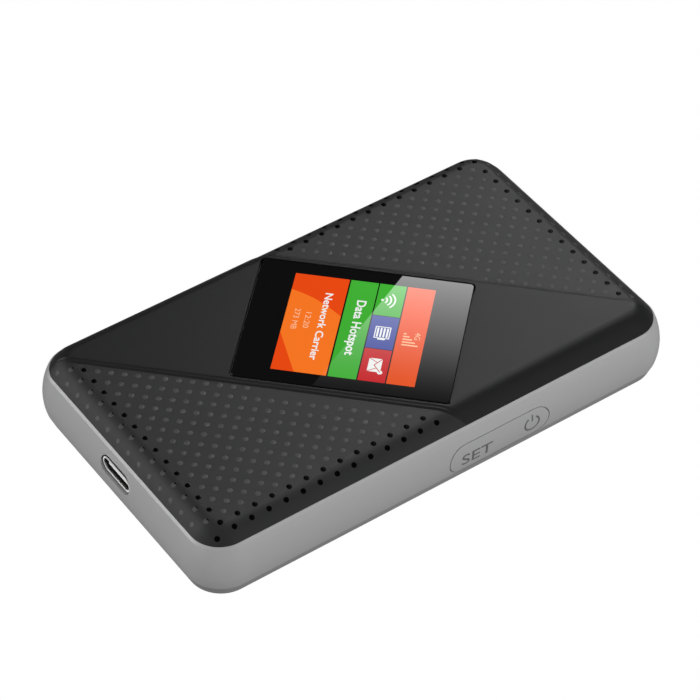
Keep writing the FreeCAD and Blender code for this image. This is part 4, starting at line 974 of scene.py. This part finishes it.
class HOTSPOT_OT_finishes(bpy.types.Operator):
    """Finish of every CAD node that stays in view or inside"""
    bl_idname = "hotspot.finishes"
    bl_label = "Node Finishes"

    def execute(self, context):
        chosen = context.scene.hotspot_finish
        for name, (nodes, base, *look) in NODE_FINISHES.items():
            shade = getattr(chosen, base) if isinstance(base, str) else base
            material = finish(name, tuple(shade), *look)
            for node in nodes.split():
                for holder in frame["nodes"][node].material_slots:
                    holder.material = material
        return {"FINISHED"}


# ---- stage

def for_camera(tree, others, camera, output):
    """One shader for the camera's own rays and another for all other light."""
    path = add_node(tree, "ShaderNodeLightPath").outputs["Is Camera Ray"]
    mix = add_node(tree, "ShaderNodeMixShader", {0: path, 1: others.outputs[0],
                                                 2: camera.outputs[0]})
    tree.links.new(mix.outputs[0], tree.nodes[output].inputs["Surface"])


def pale_paper():
    """White sweep: seen as even white, and dim in what it throws back at the object."""
    material = finish("floor_paper", (0.16, 0.16, 0.16), 0.9, grain=900.0, depth=0.02, spread=0.03,
                      tint=0.01, cloud=6.0)
    tree = material.node_tree
    for_camera(tree, tree.nodes["Principled BSDF"], add_node(tree, "ShaderNodeEmission"),
               "Material Output")
    return material


def glare_card(stage, eye):
    """Lit card that the camera sees mirrored in the window, brighter towards one end."""
    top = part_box("display_window")[1].z
    centre = Vector((0.0, 0.0, top))
    mirrored = Vector((eye.x, eye.y, 2 * top - eye.z))
    aim = (centre - mirrored).normalized()
    reach = (centre - mirrored).length + CARD_AWAY
    lean = math.tan(stage.glare_lean)
    shape = bmesh.new()
    ends = shape.loops.layers.uv.new("card")
    verts = []
    for x, y in turned([(stage.glare_edge + CARD_LOW * lean, CARD_LOW), (CARD_HIGH, CARD_LOW),
                        (CARD_HIGH, CARD_HIGH),
                        (stage.glare_edge + CARD_HIGH * lean, CARD_HIGH)]):
        ray = (Vector((x, y, top)) - mirrored).normalized()
        verts.append(shape.verts.new(mirrored + ray * reach / ray.dot(aim)))
    face = shape.faces.new(verts)
    for loop, end in zip(face.loops, (CARD_LOW, CARD_LOW, CARD_HIGH, CARD_HIGH)):
        loop[ends].uv = (0.0, (end / WINDOW_HALF[1] + 1.0) / 2)
    mesh = made(shape, "glare_card")
    card = new_object("glare_card", mesh)
    card.visible_camera = False
    card.visible_diffuse = False
    material, tree, shader = new_material("glare_card", (1.0, 1.0, 1.0))
    tree.nodes.remove(shader)
    card_map = add_node(tree, "ShaderNodeUVMap", uv_map="card").outputs[0]
    place = add_node(tree, "ShaderNodeSeparateXYZ", {0: card_map}).outputs[1]
    share = maths(tree, "MINIMUM", maths(tree, "MAXIMUM", place, 0.0), 1.2)
    run = maths(tree, "MULTIPLY", maths(tree, "POWER", share, 1.6), stage.glare)
    glow = add_node(tree, "ShaderNodeEmission", {
        "Strength": maths(tree, "ADD", run, 0.04 * stage.glare)})
    tree.links.new(glow.outputs[0], tree.nodes["Material Output"].inputs["Surface"])
    mesh.materials.append(material)


def soft_light(name, power, size, spot, glossy):
    """Rectangular lamp that points at the case, seen in reflections or not."""
    lamp = bpy.data.lights.new(name, "AREA")
    lamp.energy = power
    lamp.shape = "RECTANGLE"
    lamp.size, lamp.size_y = size
    holder = new_object(name, lamp)
    holder.location = spot
    holder.rotation_mode = "QUATERNION"
    holder.rotation_quaternion = (-Vector(spot)).to_track_quat("-Z", "Y")
    holder.visible_glossy = glossy


class HOTSPOT_OT_stage(bpy.types.Operator):
    """Pale floor, soft lights and camera"""
    bl_idname = "hotspot.stage"
    bl_label = "Stage"

    def execute(self, context):
        stage = context.scene.hotspot_stage
        context.scene.view_settings.view_transform = "Standard"

        camera = bpy.data.cameras.new("camera")
        camera.lens = stage.lens
        camera.sensor_width = 36.0
        camera.clip_start, camera.clip_end = 0.01, 20.0
        holder = new_object("camera", camera)
        turn, lift = stage.azimuth, stage.elevation
        back = Vector((math.sin(turn) * math.cos(lift), -math.cos(turn) * math.cos(lift),
                       math.sin(lift)))
        holder.location = Vector(stage.aim) + back * stage.distance
        holder.rotation_mode = "QUATERNION"
        holder.rotation_quaternion = ((-back).to_track_quat("-Z", "Y")
                                      @ Quaternion((0.0, 0.0, 1.0), stage.roll))
        context.scene.camera = holder

        floor_mesh = prisms("floor", [block(-3.0, -3.0, 3.0, 3.0)], -stage.floor_drop - 0.02,
                            -stage.floor_drop)
        floor = new_object("floor", floor_mesh)
        floor_mesh.materials.append(pale_paper())

        # the low side lights stay out of reflections, so the cover's rounded edge stays dark
        for side, size, spot, glossy in (("left", (0.8, 0.6), (-0.95, 0.10, 0.28), False),
                                         ("front", (0.8, 0.6), (0.42, -0.88, 0.32), False),
                                         ("right", (0.8, 0.6), (0.82, 0.66, 0.36), False),
                                         ("back", (0.7, 0.6), (-0.75, 0.65, 0.42), True),
                                         ("top", (0.45, 0.65), (0.46, 0.11, 1.0), True)):
            soft_light(f"{side}_light", getattr(stage, f"{side}_power"), size, spot, glossy)
        glare_card(stage, holder.location)

        world = bpy.data.worlds.new("studio")
        world.use_nodes = True
        tree = world.node_tree
        white = (1.0, 1.0, 1.0, 1.0)
        sky = tree.nodes["Background"]
        feed(tree, sky, {"Strength": stage.sky, "Color": white})
        for_camera(tree, sky, add_node(tree, "ShaderNodeBackground", {"Color": white}),
                   "World Output")
        context.scene.world = world
        return {"FINISHED"}


# ---- panel and registration

class HOTSPOT_PT_panel(bpy.types.Panel):
    bl_idname = "HOTSPOT_PT_panel"
    bl_label = "Pocket Hotspot"
    bl_space_type = "VIEW_3D"
    bl_region_type = "UI"
    bl_category = "Hotspot"

    def draw(self, context):
        for group in GROUPS:
            box = self.layout.box()
            box.label(text=group.split("_")[1].capitalize())
            settings = getattr(context.scene, group)
            for name in type(settings).__annotations__:
                box.prop(settings, name)
        for operator in PIECES:
            self.layout.operator(operator.bl_idname)


PIECES = (HOTSPOT_OT_stage, HOTSPOT_OT_finishes, HOTSPOT_OT_cover, HOTSPOT_OT_grip_dots,
          HOTSPOT_OT_screen, HOTSPOT_OT_key_marks, HOTSPOT_OT_port_contacts)
GROUPS = {
    "hotspot_cover": HotspotCoverSettings,
    "hotspot_grip": HotspotGripSettings,
    "hotspot_screen": HotspotScreenSettings,
    "hotspot_port": HotspotPortSettings,
    "hotspot_finish": HotspotFinishSettings,
    "hotspot_stage": HotspotStageSettings,
}


CLASSES = (*GROUPS.values(), *PIECES, HOTSPOT_PT_panel)


def register():
    for kind in CLASSES:
        bpy.utils.register_class(kind)
    for name, group in GROUPS.items():
        setattr(bpy.types.Scene, name, PointerProperty(type=group))


def unregister():
    for name in GROUPS:
        delattr(bpy.types.Scene, name)
    for kind in reversed(CLASSES):
        bpy.utils.unregister_class(kind)


def main():
    """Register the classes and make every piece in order."""
    register()
    for piece in PIECES:
        area, name = piece.bl_idname.split(".")
        getattr(getattr(bpy.ops, area), name)()
    bpy.context.view_layer.update()


if __name__ == "__main__":
    main()
